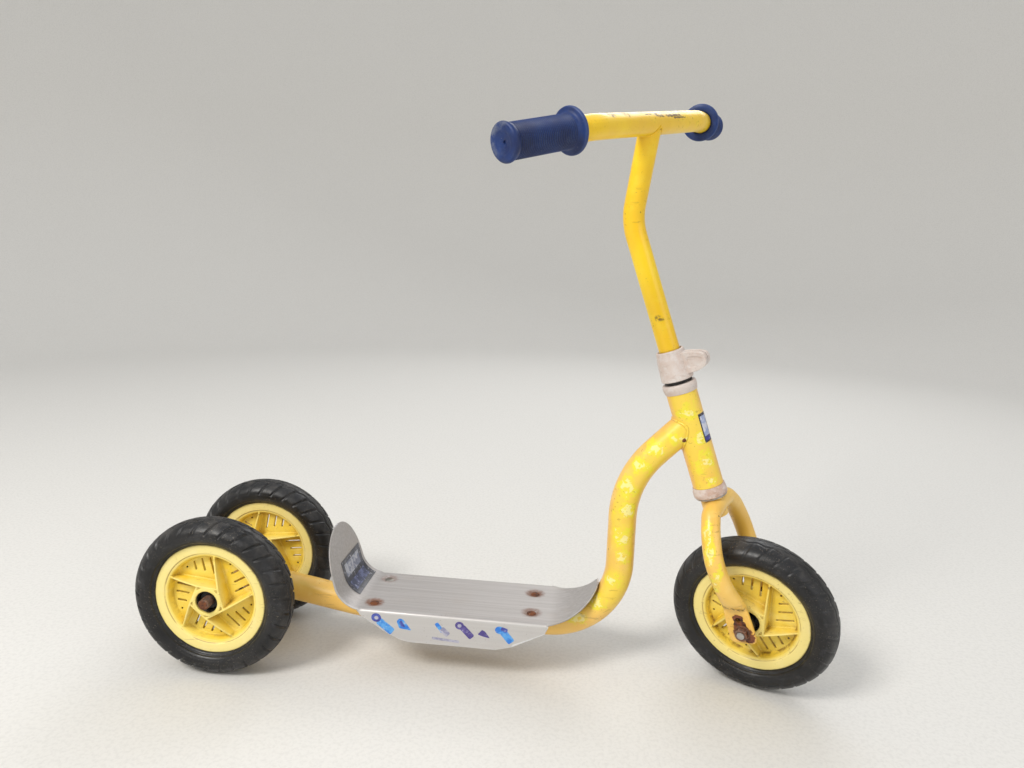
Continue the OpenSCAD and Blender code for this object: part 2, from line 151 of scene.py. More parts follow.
def lathe(profile, seg=96, closed=False, func=None):
    """Points and faces of a profile of (r, z) turned about Z. closed joins the last point to the
    first. Points on the axis become one point."""
    verts, rows = [], []
    for j, (r, z) in enumerate(profile):
        if r < 1e-6:
            rows.append([len(verts)])
            verts.append((0, 0, z))
            continue
        row = []
        for i in range(seg):
            a = 2 * math.pi * i / seg
            rr, zz = (r, z) if func is None else func(r, z, a, j)
            row.append(len(verts))
            verts.append((rr * math.cos(a), rr * math.sin(a), zz))
        rows.append(row)
    faces = []
    pairs = list(zip(rows, rows[1:])) + ([(rows[-1], rows[0])] if closed else [])
    for a, b in pairs:
        for i in range(seg):
            k = (i + 1) % seg
            q = [a[i % len(a)], a[k % len(a)], b[k % len(b)], b[i % len(b)]]
            q = [x for n, x in enumerate(q) if x != q[n - 1]]
            if len(q) > 2:
                faces.append(q)
    return verts, faces


def grid_faces(nu, nv, wrap_u=False, wrap_v=False, off=0):
    f = []
    for i in range(nu if wrap_u else nu - 1):
        for j in range(nv if wrap_v else nv - 1):
            a, b = i * nv + j, ((i + 1) % nu) * nv + j
            c, d = ((i + 1) % nu) * nv + (j + 1) % nv, i * nv + (j + 1) % nv
            f.append((a + off, b + off, c + off, d + off))
    return f


def merge(*parts):
    verts, faces = [], []
    for v, f in parts:
        o = len(verts)
        verts += [tuple(p) for p in v]
        faces += [tuple(i + o for i in q) for q in f]
    return verts, faces


def moved(part, m):
    return [tuple(m @ Vector(p)) for p in part[0]], part[1]


def unit(v):
    v = np.asarray(v, float)
    return v / np.linalg.norm(v)


def rounded_path(pts, radii, step=2.0):
    """Points along a polyline with its corners rounded, in the way a tube is bent."""
    pts = [np.asarray(p, float) for p in pts]
    out = [pts[0]]
    for i in range(1, len(pts) - 1):
        d1, d2 = unit(pts[i] - pts[i - 1]), unit(pts[i + 1] - pts[i])
        ang = math.acos(max(-1, min(1, float(d1 @ d2))))
        r = radii[i]
        cut = r * math.tan(ang / 2)
        n = unit(d2 - d1 * (d1 @ d2))
        c = pts[i] - d1 * cut + n * r
        k = max(3, int(r * ang / step))
        for t in range(k + 1):
            a = ang * t / k
            out.append(c - n * r * math.cos(a) + d1 * r * math.sin(a))
    out.append(pts[-1])
    # even spacing on the straights
    fine = [out[0]]
    for a, b in zip(out, out[1:]):
        n = max(1, int(np.linalg.norm(b - a) / step))
        fine += [a + (b - a) * t / n for t in range(1, n + 1)]
    return np.array(fine)


def sweep(path, section, seg=40, up=(1, 0, 0), ends=(True, True)):
    """Sweeps section(s, a) -> (x, y) along path. s is the distance along it, a the angle round it.
    x is measured towards up, kept across the path."""
    path = np.asarray(path, float)
    n = len(path)
    dist = np.concatenate([[0], np.cumsum(np.linalg.norm(np.diff(path, axis=0), axis=1))])
    verts = []
    for i in range(n):
        t = unit(path[min(i + 1, n - 1)] - path[max(i - 1, 0)])
        x = np.asarray(up, float)
        x = unit(x - t * (x @ t))
        y = np.cross(t, x)
        for k in range(seg):
            a = 2 * math.pi * k / seg
            p, q = section(dist[i], a)
            verts.append(tuple(path[i] + x * p + y * q))
    faces = grid_faces(n, seg, wrap_v=True)
    if ends[0]:
        faces.append(tuple(range(seg))[::-1])
    if ends[1]:
        faces.append(tuple(range((n - 1) * seg, n * seg)))
    return verts, faces


def smooth01(x, a, b):
    t = np.clip((np.asarray(x, float) - a) / (b - a), 0, 1)
    return t * t * (3 - 2 * t)


def super_xy(a, rx, ry, n):
    c, s = math.cos(a), math.sin(a)
    k = (abs(c) ** n + abs(s) ** n) ** (-1 / n)
    return rx * c * k, ry * s * k


def prism(outline, z0, z1):
    """A straight block with the outline (x, y) between two heights."""
    n = len(outline)
    v = [(x, y, z0) for x, y in outline] + [(x, y, z1) for x, y in outline]
    f = [tuple(range(n))[::-1], tuple(range(n, 2 * n))]
    f += [(i, (i + 1) % n, n + (i + 1) % n, n + i) for i in range(n)]
    return v, f


def voxel(name, parts, size, smooth_n=2, factor=0.5):
    """One moulded skin over overlapping closed parts in mm, its edges softened. Returns a mesh in m."""
    v, f = merge(*parts)
    me = bpy.data.meshes.new(name)
    me.from_pydata((np.asarray(v) * MM).tolist(), [], f)
    bm = bmesh.new()
    bm.from_mesh(me)
    bmesh.ops.recalc_face_normals(bm, faces=bm.faces)
    bm.to_mesh(me)
    bm.free()
    o = bpy.data.objects.new(name, me)
    bpy.context.scene.collection.objects.link(o)
    m = o.modifiers.new("r", "REMESH")
    m.mode = "VOXEL"
    m.voxel_size = size * MM
    m.adaptivity = 0.0
    if smooth_n:
        s = o.modifiers.new("s", "SMOOTH")
        s.factor = factor
        s.iterations = smooth_n
    dg = bpy.context.evaluated_depsgraph_get()
    out = bpy.data.meshes.new_from_object(o.evaluated_get(dg))
    out.name = name
    bpy.data.objects.remove(o)
    return out


def weld(points, normal_hint, rad=1.6, seed=1, wobble=0.35):
    """A lumpy weld bead along a closed or open line of points."""
    rnd = random.Random(seed)
    p = np.asarray(points, float)
    ph = rnd.random() * 6
    def sec(s, a):
        k = rad * (1 + wobble * 0.5 * math.sin(s * 2.1 + ph) + 0.12 * math.sin(s * 5.3 + 2 * ph))
        return k * math.cos(a), k * 0.75 * math.sin(a)
    return sweep(p, sec, seg=10, up=normal_hint)


# ---------------------------------------------------------------- materials
def lin(r, g, b):
    """Display colour 0 to 255 as linear light."""
    f = lambda c: c / 12.92 if c <= 0.04045 else ((c + 0.055) / 1.055) ** 2.4
    return (f(r / 255), f(g / 255), f(b / 255), 1.0)


class Mat:
    """A small wrapper that builds a node material on each piece's own coordinates."""

    def __init__(self, name, metallic=0.0, spec=0.5, coat=0.0, coat_rough=0.2, sheen=0.0):
        self.m = bpy.data.materials.new(name)
        self.m.use_nodes = True
        self.t = self.m.node_tree
        self.t.nodes.clear()
        self.out = self.t.nodes.new("ShaderNodeOutputMaterial")
        self.p = self.t.nodes.new("ShaderNodeBsdfPrincipled")
        self.t.links.new(self.p.outputs[0], self.out.inputs[0])
        self.p.inputs["Metallic"].default_value = metallic
        self.p.inputs["Specular IOR Level"].default_value = spec
        self.p.inputs["Coat Weight"].default_value = coat
        self.p.inputs["Coat Roughness"].default_value = coat_rough
        self.p.inputs["Sheen Weight"].default_value = sheen
        self.co = self.t.nodes.new("ShaderNodeTexCoord").outputs["Object"]
        self.geo = None

    def node(self, kind, ins=None, **props):
        n = self.t.nodes.new(kind)
        for k, v in props.items():
            setattr(n, k, v)
        for k, v in (ins or {}).items():
            self.put(n.inputs[k], v)
        return n

    def put(self, sock, v):
        if isinstance(v, bpy.types.NodeSocket):
            self.t.links.new(v, sock)
        else:
            sock.default_value = v

    def set(self, name, v):
        self.put(self.p.inputs[name], v)

    def map(self, scale=(1, 1, 1), loc=(0, 0, 0), rot=(0, 0, 0), vec=None):
        return self.node("ShaderNodeMapping", {0: vec or self.co, 1: loc, 2: [math.radians(a) for a in rot], 3: scale}).outputs[0]

    def noise(self, scale, detail=3.0, rough=0.55, vec=None, dist=0.0):
        return self.node("ShaderNodeTexNoise", {"Vector": vec or self.co, "Scale": scale, "Detail": detail, "Roughness": rough, "Distortion": dist}).outputs[0]

    def voro(self, scale, vec=None, feature="F1", rand=1.0, out="Distance"):
        return self.node("ShaderNodeTexVoronoi", {"Vector": vec or self.co, "Scale": scale, "Randomness": rand}, feature=feature).outputs[out]

    def ramp(self, fac, a, b, va=0.0, vb=1.0, smooth=True):
        """va below a, vb above b."""
        return self.node("ShaderNodeMapRange", {0: fac, 1: a, 2: b, 3: va, 4: vb}, interpolation_type="SMOOTHSTEP" if smooth else "LINEAR", clamp=True).outputs[0]

    def math(self, op, a, b=0.0, c=0.0):
        return self.node("ShaderNodeMath", {0: a, 1: b, 2: c}, operation=op).outputs[0]

    def mul(self, *v):
        r = v[0]
        for x in v[1:]:
            r = self.math("MULTIPLY", r, x)
        return r

    def mx(self, *v):
        r = v[0]
        for x in v[1:]:
            r = self.math("MAXIMUM", r, x)
        return r

    def mix(self, fac, a, b):
        n = self.node("ShaderNodeMix", data_type="RGBA")
        self.put(n.inputs[0], fac)
        self.put(n.inputs[6], a)
        self.put(n.inputs[7], b)
        return n.outputs[2]

    def xyz(self, vec=None):
        s = self.node("ShaderNodeSeparateXYZ", {0: vec or self.co})
        return s.outputs[0], s.outputs[1], s.outputs[2]

    def vmath(self, op, a, b=(0, 0, 0)):
        n = self.node("ShaderNodeVectorMath", {0: a, 1: b}, operation=op)
        return n.outputs["Value"] if op in ("LENGTH", "DOT_PRODUCT", "DISTANCE") else n.outputs[0]

    def spot(self, p, r, wob=0.35, scale=160.0, soft=0.35):
        """A blotch mask round a point in mm; r is its radii in mm, wobbled by noise."""
        d = self.vmath("SUBTRACT", self.co, [c * MM for c in p])
        rr = [r, r, r] if isinstance(r, (int, float)) else r
        d = self.vmath("LENGTH", self.vmath("DIVIDE", d, [x * MM for x in rr]))
        if wob:
            d = self.math("ADD", d, self.math("MULTIPLY", self.math("SUBTRACT", self.noise(scale, 3), 0.5), 2 * wob))
        return self.ramp(d, 1 - soft, 1 + soft, 1, 0)

    def edge(self, lo=0.52, hi=0.6):
        if self.geo is None:
            self.geo = self.node("ShaderNodeNewGeometry")
        return self.ramp(self.geo.outputs["Pointiness"], lo, hi)

    def ao(self, dist, lo=0.35, hi=0.9, samples=6):
        """1 in corners, 0 in the open."""
        a = self.node("ShaderNodeAmbientOcclusion", {"Distance": dist}, samples=samples)
        return self.ramp(a.outputs["AO"], lo, hi, 1, 0)

    def up(self, lo=0.2, hi=0.9):
        """1 on faces that look up."""
        if self.geo is None:
            self.geo = self.node("ShaderNodeNewGeometry")
        z = self.xyz(self.geo.outputs["Normal"])[2]
        return self.ramp(z, lo, hi)

    def bump(self, *pairs):
        """Stacks (height, distance_mm, strength) into one normal."""
        nrm = None
        for h, d, s in pairs:
            b = self.node("ShaderNodeBump", {"Height": h, "Distance": d * MM, "Strength": s})
            if nrm is not None:
                self.t.links.new(nrm, b.inputs["Normal"])
            nrm = b.outputs[0]
        self.t.links.new(nrm, self.p.inputs["Normal"])


def paint(name, base, deep, pale, marks=None, film=0.0, rust=(), chips=1.0, scuffs=(), lines=(), seed=0.0):
    """Weathered yellow gloss paint. marks: (film strip limits, (point, radii) blotches left of an old
    film). rust: (point, radius) pairs. scuffs: (point, radii) pairs worn dark."""
    m = Mat(name, spec=0.5, coat=0.25, coat_rough=0.18)
    co = m.map(loc=(seed, seed * 0.7, -seed))
    big = m.noise(14, 3, 0.55, co)
    mid = m.noise(60, 4, 0.6, co)
    fine = m.noise(420, 4, 0.65, co)
    c = m.mix(m.ramp(big, 0.35, 0.68), base, deep)
    c = m.mix(m.mul(m.ramp(mid, 0.5, 0.72), 0.35), c, pale)
    rough = m.ramp(mid, 0.3, 0.7, 0.30, 0.44)
    if film:
        # faded film: paler, in long patches with soft edges
        f = m.mul(m.ramp(m.noise(22, 3, 0.5, m.map(loc=(3 + seed, 1, 2))), 0.42, 0.56), film)
        c = m.mix(f, c, pale)
    if marks:
        # worn film: lemon strip along the tube's sides with pale blotches in it
        mask, pts = marks
        wob = m.math("ADD", m.math("MULTIPLY", m.math("SUBTRACT", m.noise(95, 3, 0.6, co), 0.5), 3.2),
                     m.math("MULTIPLY", m.math("SUBTRACT", m.noise(280, 3, 0.6, co), 0.5), 1.6))
        if mask:
            y = m.math("ADD", m.math("ABSOLUTE", m.xyz()[1]), m.math("MULTIPLY", m.math("SUBTRACT", m.noise(70, 4, 0.6, co), 0.5), 0.010))
            strip = m.mul(m.ramp(y, mask[0] * MM, mask[1] * MM), m.ramp(m.noise(26, 2, 0.5, co), 0.30, 0.50, 0.35, 1.0))
            if len(mask) > 2:
                strip = m.mul(strip, m.ramp(m.xyz()[2], (mask[2] - 14) * MM, (mask[2] + 14) * MM))
            c = m.mix(m.mul(strip, 0.80), c, lin(245, 214, 66))
        dist = None
        for q, r in pts:
            d = m.vmath("SUBTRACT", m.co, [a * MM for a in q])
            d = m.vmath("LENGTH", m.vmath("DIVIDE", d, [a * MM for a in r]))
            dist = d if dist is None else m.math("MINIMUM", dist, d)
        dist = m.math("ADD", dist, wob)
        halo = m.mul(m.ramp(dist, 1.05, 1.60, 1, 0), m.ramp(m.noise(60, 3, 0.6, m.map(loc=(seed, 4, 1))), 0.36, 0.56, 0.25, 1.0))
        core = m.mul(m.ramp(dist, 0.62, 0.78, 1, 0), m.ramp(m.noise(210, 2, 0.5, m.map(loc=(2, seed, 7))), 0.40, 0.50))
        c = m.mix(m.mul(halo, 0.80), c, lin(238, 226, 46))
        c = m.mix(m.mul(core, 0.62), c, lin(250, 241, 176))
        rough = m.math("ADD", rough, m.mul(core, 0.12))
    # fine scratches in two directions
    s1 = m.ramp(m.noise(90, 2, 0.6, m.map((0.18, 3.2, 3.2), (seed, 0, 0), (8, 14, 5))), 0.63, 0.68)
    s2 = m.ramp(m.noise(90, 2, 0.6, m.map((3.4, 0.22, 2.6), (0, seed, 0), (30, 0, 24))), 0.655, 0.69)
    scr = m.mul(m.mx(s1, s2), m.ramp(m.noise(25, 2, 0.5, co), 0.45, 0.62))
    c = m.mix(m.mul(scr, 0.30), c, lin(120, 84, 30))
    # dust and grime specks
    spk = m.mul(m.ramp(m.noise(700, 2, 0.5, co), 0.68, 0.76), m.ramp(m.noise(30, 2, 0.5, co), 0.40, 0.62))
    c = m.mix(m.mul(spk, 0.55), c, lin(96, 66, 30))
    # chips to dark primer with a rusty rim
    cd = m.math("ADD", m.voro(70, co, rand=1.0), m.math("MULTIPLY", m.noise(500, 3, 0.6, co), 0.22))
    chip = m.mul(m.ramp(cd, 0.155, 0.175, 1, 0), m.ramp(m.noise(18, 2, 0.5, m.map(loc=(9 + seed, 5, 2))), 0.56, 0.60), chips)
    c = m.mix(chip, c, lin(74, 50, 34))
    rough = m.math("ADD", rough, m.mul(m.mx(chip, scr), 0.25))
    dark = None
    for p, d, h, r in lines:
        # a scratch along a line: the middle, the way it runs, its half length and radius
        q = m.vmath("SUBTRACT", m.co, [a * MM for a in p])
        t = m.math("MINIMUM", m.math("MAXIMUM", m.vmath("DOT_PRODUCT", q, d), -h * MM), h * MM)
        n = m.node("ShaderNodeVectorMath", {0: d}, operation="SCALE")
        m.put(n.inputs["Scale"], t)
        q = m.math("DIVIDE", m.vmath("DISTANCE", q, n.outputs[0]), r * MM)
        q = m.math("ADD", q, m.math("MULTIPLY", m.math("SUBTRACT", m.noise(330, 4, 0.7), 0.5), 4.0))
        k = m.mul(m.ramp(q, 0.8, 1.3, 1, 0), m.ramp(m.noise(110, 3, 0.6), 0.40, 0.52))
        dark = k if dark is None else m.mx(dark, k)
    for p, r in scuffs:
        k = m.spot(p, r, 0.55, 260, 0.4)
        k = m.mul(k, m.ramp(m.noise(240, 3, 0.7, m.map((1, 2.2, 1))), 0.42, 0.60))
        dark = k if dark is None else m.mx(dark, k)
    if dark is not None:
        c = m.mix(m.mul(dark, 0.85), c, lin(66, 48, 26))
        rough = m.math("ADD", rough, m.mul(dark, 0.2))
    red = None
    for p, r in rust:
        k = m.spot(p, r, 0.45, 190, 0.5)
        red = k if red is None else m.mx(red, k)
    hts = [(fine, 0.05, 0.35), (mid, 0.3, 0.12)]
    if red is not None:
        rc = m.mix(m.ramp(m.noise(240, 4, 0.65), 0.35, 0.65), lin(58, 30, 20), lin(128, 68, 34))
        halo = m.mul(red, m.ramp(m.noise(120, 3), 0.3, 0.6))
        c = m.mix(m.mul(halo, 0.45), c, lin(196, 128, 44))
        core = m.ramp(m.mul(red, m.math("ADD", m.noise(170, 4, 0.6), 0.42)), 0.42, 0.56)
        c = m.mix(core, c, rc)
        rough = m.math("ADD", rough, m.mul(core, 0.38))
        hts.append((m.mul(core, m.noise(500, 3)), 0.5, 0.5))
    # painted shade in the corners, a darker yellow-brown
    c = m.mix(m.mul(m.ao(0.012, 0.3, 0.8), 0.40), c, lin(150, 100, 34))
    hts.append((m.math("MULTIPLY", m.mx(chip, scr), -1.0), 0.12, 0.5))
    m.set("Base Color", c)
    m.set("Roughness", rough)
    m.bump(*hts)
    return m.m


def rim_plastic(name, seed, mud=0.5):
    """Moulded yellow plastic, pale on the lip from sun bleaching and painted light, with painted light on the raised
    faces, painted shade and grime in the corners, and dark painted shade in the slots. Local axes: Z is the axle.
    """
    m = Mat(name, spec=0.5, coat=0.0)
    m.p.inputs["Subsurface Weight"].default_value = 0.0
    co = m.map(loc=(seed, -seed, seed * 0.5))
    x, y, z = m.xyz()
    r = m.math("SQRT", m.math("ADD", m.mul(x, x), m.mul(y, y)))
    az = m.math("ABSOLUTE", z)
    deep, base, pale = lin(238, 204, 62), lin(242, 216, 96), lin(246, 228, 146)
    # the lip and the faces raised above the web are paler: painted light on the faces turned outward, and on the lip
    # sun bleaching as well
    lip = m.ramp(r, 0.0505, 0.0535)
    raised_face_light = m.ramp(az, 0.006, 0.017)
    c = m.mix(m.ramp(m.noise(30, 3, 0.5, co), 0.35, 0.65), deep, base)
    c = m.mix(m.mul(raised_face_light, 0.55), c, pale)
    c = m.mix(m.mul(lip, 0.9), c, pale)
    c = m.mix(m.mul(m.ramp(m.noise(45, 4, 0.6, co), 0.5, 0.7), 0.3), c, lin(250, 232, 168))
    # painted shade in the corners, broken up by brown grime, and brown mud where the dish meets the web
    corner = m.ao(0.009, 0.35, 0.85)
    dn = m.ramp(m.noise(110, 4, 0.65, co), 0.38, 0.62)
    c = m.mix(m.mul(corner, m.math("ADD", m.mul(dn, 0.45), 0.15)), c, lin(160, 118, 34))
    # dark painted shade inside the web's slots
    slot = m.ao(0.0026, 0.25, 0.70)
    c = m.mix(m.mul(slot, 0.80), c, lin(66, 48, 20))
    line = m.mul(m.ramp(m.math("ABSOLUTE", m.math("SUBTRACT", r, 0.0531)), 0.0002, 0.0007, 1, 0), m.ramp(m.noise(60, 3, 0.6, co), 0.34, 0.56))
    c = m.mix(m.mul(line, 0.55), c, lin(136, 98, 40))
    ring = m.mul(m.ramp(m.math("ABSOLUTE", m.math("SUBTRACT", r, 0.0475)), 0.0, 0.0022, 1, 0), m.ramp(az, 0.002, 0.0035, 0, 1))
    c = m.mix(m.mul(ring, dn, mud), c, lin(120, 84, 40))
    spat = m.mul(m.ramp(m.noise(260, 3, 0.7, co), 0.60, 0.68), m.ramp(m.noise(22, 2, 0.5, co), 0.45, 0.6))
    c = m.mix(m.mul(spat, 0.45 * mud), c, lin(132, 104, 64))
    # tyre black rubbed on the lip's outer edge
    rub = m.mul(m.ramp(r, 0.0618, 0.0636), m.ramp(m.noise(80, 3, 0.6, co), 0.35, 0.6))
    c = m.mix(m.mul(rub, 0.55), c, lin(92, 78, 52))
    rub2 = m.mul(m.ramp(r, 0.0635, 0.0645))
    scr = m.mul(m.ramp(m.noise(120, 2, 0.6, m.map((0.25, 3, 3), (seed, 0, 0), (0, 0, 33))), 0.63, 0.67), m.ramp(m.noise(35, 2, 0.5, co), 0.45, 0.6))
    c = m.mix(m.mul(scr, 0.30), c, lin(150, 118, 60))
    m.set("Base Color", c)
    m.set("Roughness", m.math("ADD", m.ramp(m.noise(70, 3, 0.6, co), 0.3, 0.7, 0.36, 0.52), m.mul(corner, 0.15)))
    m.bump((m.noise(380, 3, 0.6, co), 0.05, 0.4), (scr, 0.08, 0.4), (m.noise(40, 2), 0.4, 0.08))
    return m.m


def tyre_rubber(name, seed, dust=1.0):
    m = Mat(name, spec=0.45, sheen=0.0)
    co = m.map(loc=(seed, seed, -seed))
    x, y, z = m.xyz()
    r = m.math("SQRT", m.math("ADD", m.mul(x, x), m.mul(y, y)))
    c = m.mix(m.ramp(m.noise(26, 3, 0.5, co), 0.35, 0.65), lin(16, 16, 18), lin(27, 27, 29))
    tread = m.ramp(r, 0.080, 0.089)
    patch = m.ramp(m.noise(48, 4, 0.65, co), 0.44, 0.66)
    spk = m.ramp(m.noise(620, 3, 0.7, co), 0.60, 0.70)
    d = m.mul(m.math("ADD", m.mul(tread, 0.26), 0.07), patch, dust)
    c = m.mix(d, c, lin(96, 92, 88))
    c = m.mix(m.mul(spk, m.ramp(m.noise(40, 2, 0.5, co), 0.4, 0.6), 0.6 * dust), c, lin(150, 138, 122))
    corner = m.ao(0.006, 0.35, 0.85)
    c = m.mix(m.mul(corner, 0.22, tread, dust), c, lin(100, 92, 82))
    # scuffed grey arcs on the sidewall
    arc = m.ramp(m.noise(60, 3, 0.6, m.map((1, 1, 3.5), (seed, 0, 0))), 0.56, 0.66)
    c = m.mix(m.mul(arc, 0.16), c, lin(84, 84, 88))
    m.set("Base Color", c)
    m.set("Roughness", m.math("ADD", m.ramp(m.noise(90, 3, 0.6, co), 0.3, 0.7, 0.34, 0.52), m.mul(d, 0.35)))
    m.bump((m.noise(900, 3, 0.7, co), 0.10, 0.45), (m.noise(110, 3, 0.6, co), 0.5, 0.20), (spk, 0.1, 0.3))
    return m.m


def deck_metal(name, screws):
    """Dull brushed sheet: long rubbed streaks, dust, stains, brighter edges from rubbed metal with a painted highlight,
    painted shade in the corners, rust round screws.
    """
    m = Mat(name, metallic=0.35, spec=0.5)
    streak = m.noise(60, 4, 0.6, m.map((0.12, 6.0, 6.0)))
    fine = m.noise(240, 3, 0.65, m.map((0.06, 5.0, 5.0)))
    blot = m.noise(22, 4, 0.6)
    c = m.mix(m.ramp(streak, 0.3, 0.7), lin(164, 159, 157), lin(178, 174, 172))
    c = m.mix(m.mul(m.ramp(fine, 0.52, 0.66), 0.12), c, lin(204, 200, 199))
    c = m.mix(m.mul(m.ramp(blot, 0.5, 0.68), 0.28), c, lin(170, 160, 152))
    # the flanges hang out of the way of shoes and stay paler
    side = m.ramp(m.math("ABSOLUTE", m.xyz()[1]), 0.0462, 0.0482)
    c = m.mix(m.mul(side, 0.6), c, lin(212, 210, 208))
    dots = m.mul(m.ramp(m.noise(520, 2, 0.6), 0.66, 0.73), m.ramp(m.noise(32, 2), 0.42, 0.6))
    c = m.mix(m.mul(dots, 0.5), c, lin(98, 82, 66))
    rust = None
    for p, k in screws:
        q = m.mul(m.spot(p, (10.2, 9.4, 9), 0.3, 210, 0.35), k)
        rust = q if rust is None else m.mx(rust, q)
    rn = m.mul(rust, m.ramp(m.noise(200, 4, 0.65), 0.22, 0.50))
    c = m.mix(m.mul(rn, 0.9), c, lin(116, 74, 50))
    # brighter edges: rubbed metal, with a painted highlight along the bends
    edge = m.edge(0.515, 0.57)
    c = m.mix(m.mul(edge, 0.75), c, lin(226, 226, 228))
    # painted shade in the corners, darker brown-grey; the same mask makes them rougher and less metallic
    corner_shade_and_dirt = m.ao(0.012, 0.35, 0.85)
    c = m.mix(m.mul(corner_shade_and_dirt, 0.4), c, lin(112, 96, 80))
    rough = m.ramp(fine, 0.3, 0.7, 0.40, 0.56)
    rough = m.math("SUBTRACT", rough, m.mul(edge, 0.14))
    rough = m.math("ADD", rough, m.math("ADD", m.mul(rn, 0.3), m.mul(corner_shade_and_dirt, 0.2)))
    m.set("Base Color", c)
    m.set("Roughness", rough)
    m.set("Metallic", m.math("SUBTRACT", 0.35, m.math("ADD", m.mul(rn, 0.3), m.mul(corner_shade_and_dirt, 0.05))))
    m.bump((fine, 0.06, 0.25), (streak, 0.12, 0.08), (m.noise(16, 3, 0.5), 1.2, 0.12), (m.mul(rn, m.noise(420, 3)), 0.3, 0.5))
    return m.m


def pale_plastic(name, seed, pink=0.5):
    m = Mat(name, spec=0.4)
    co = m.map(loc=(seed, 0, -seed))
    base, warm = lin(216, 204, 197), lin(190, 158, 140)
    c = m.mix(m.mul(m.ramp(m.noise(40, 3, 0.6, co), 0.35, 0.65), pink), base, warm)
    c = m.mix(m.mul(m.ramp(m.noise(150, 4, 0.65, co), 0.45, 0.68), 0.5), c, lin(222, 218, 216))
    grime = m.ramp(m.noise(90, 4, 0.7, m.map((1, 1, 3), (seed, 2, 0))), 0.56, 0.74)
    c = m.mix(m.mul(grime, 0.18 + 0.3 * pink), c, lin(156, 130, 112))
    spk = m.ramp(m.noise(800, 2, 0.6, co), 0.66, 0.74)
    c = m.mix(m.mul(spk, 0.5), c, lin(110, 92, 78))
    # painted shade in the corners, dark brown
    corner = m.ao(0.006, 0.35, 0.85)
    c = m.mix(m.mul(corner, 0.6), c, lin(104, 82, 66))
    m.set("Base Color", c)
    m.set("Roughness", m.ramp(m.noise(120, 3, 0.6, co), 0.3, 0.7, 0.50, 0.68))
    m.bump((m.noise(600, 4, 0.7, co), 0.10, 0.5), (m.noise(100, 3, 0.6, co), 0.4, 0.22))
    return m.m


def rusty(name, seed, metal=0.35, bare=0.25):
    m = Mat(name, metallic=metal, spec=0.4)
    co = m.map(loc=(seed, seed, 0))
    n1 = m.noise(190, 5, 0.7, co)
    c = m.mix(m.ramp(n1, 0.35, 0.62), lin(56, 34, 27), lin(122, 72, 44))
    c = m.mix(m.mul(m.ramp(m.noise(420, 4, 0.7, co), 0.55, 0.66), 0.7), c, lin(160, 96, 54))
    c = m.mix(m.mul(m.ramp(m.noise(80, 3, 0.6, co), 0.52, 0.62), bare), c, lin(150, 138, 130))
    e = m.edge(0.53, 0.62)
    c = m.mix(m.mul(e, 0.5), c, lin(176, 150, 132))
    m.set("Base Color", c)
    m.set("Roughness", m.ramp(n1, 0.3, 0.7, 0.55, 0.85))
    m.bump((n1, 0.35, 0.55), (m.noise(900, 3, 0.7, co), 0.12, 0.5))
    return m.m


def zinc(name, seed):
    m = Mat(name, metallic=0.85, spec=0.5)
    co = m.map(loc=(seed, 0, seed))
    n1 = m.noise(160, 4, 0.6, co)
    c = m.mix(m.ramp(n1, 0.35, 0.65), lin(122, 118, 112), lin(168, 164, 158))
    c = m.mix(m.mul(m.ramp(m.noise(70, 4, 0.65, co), 0.54, 0.66), 0.6), c, lin(110, 78, 52))
    c = m.mix(m.mul(m.edge(0.53, 0.6), 0.5), c, lin(206, 204, 200))
    m.set("Base Color", c)
    m.set("Roughness", m.ramp(n1, 0.3, 0.7, 0.34, 0.6))
    m.bump((m.noise(700, 3, 0.6, co), 0.08, 0.4))
    return m.m


def black_plastic(name, seed):
    m = Mat(name, spec=0.45)
    co = m.map(loc=(seed, 0, seed))
    c = m.mix(m.ramp(m.noise(60, 3, 0.6, co), 0.4, 0.65), lin(20, 20, 21), lin(38, 36, 35))
    c = m.mix(m.mul(m.ramp(m.noise(220, 4, 0.7, co), 0.52, 0.68), 0.5), c, lin(92, 80, 66))
    m.set("Base Color", c)
    m.set("Roughness", m.ramp(m.noise(140, 3, 0.6, co), 0.3, 0.7, 0.42, 0.68))
    m.bump((m.noise(500, 3, 0.6, co), 0.08, 0.4))
    return m.m


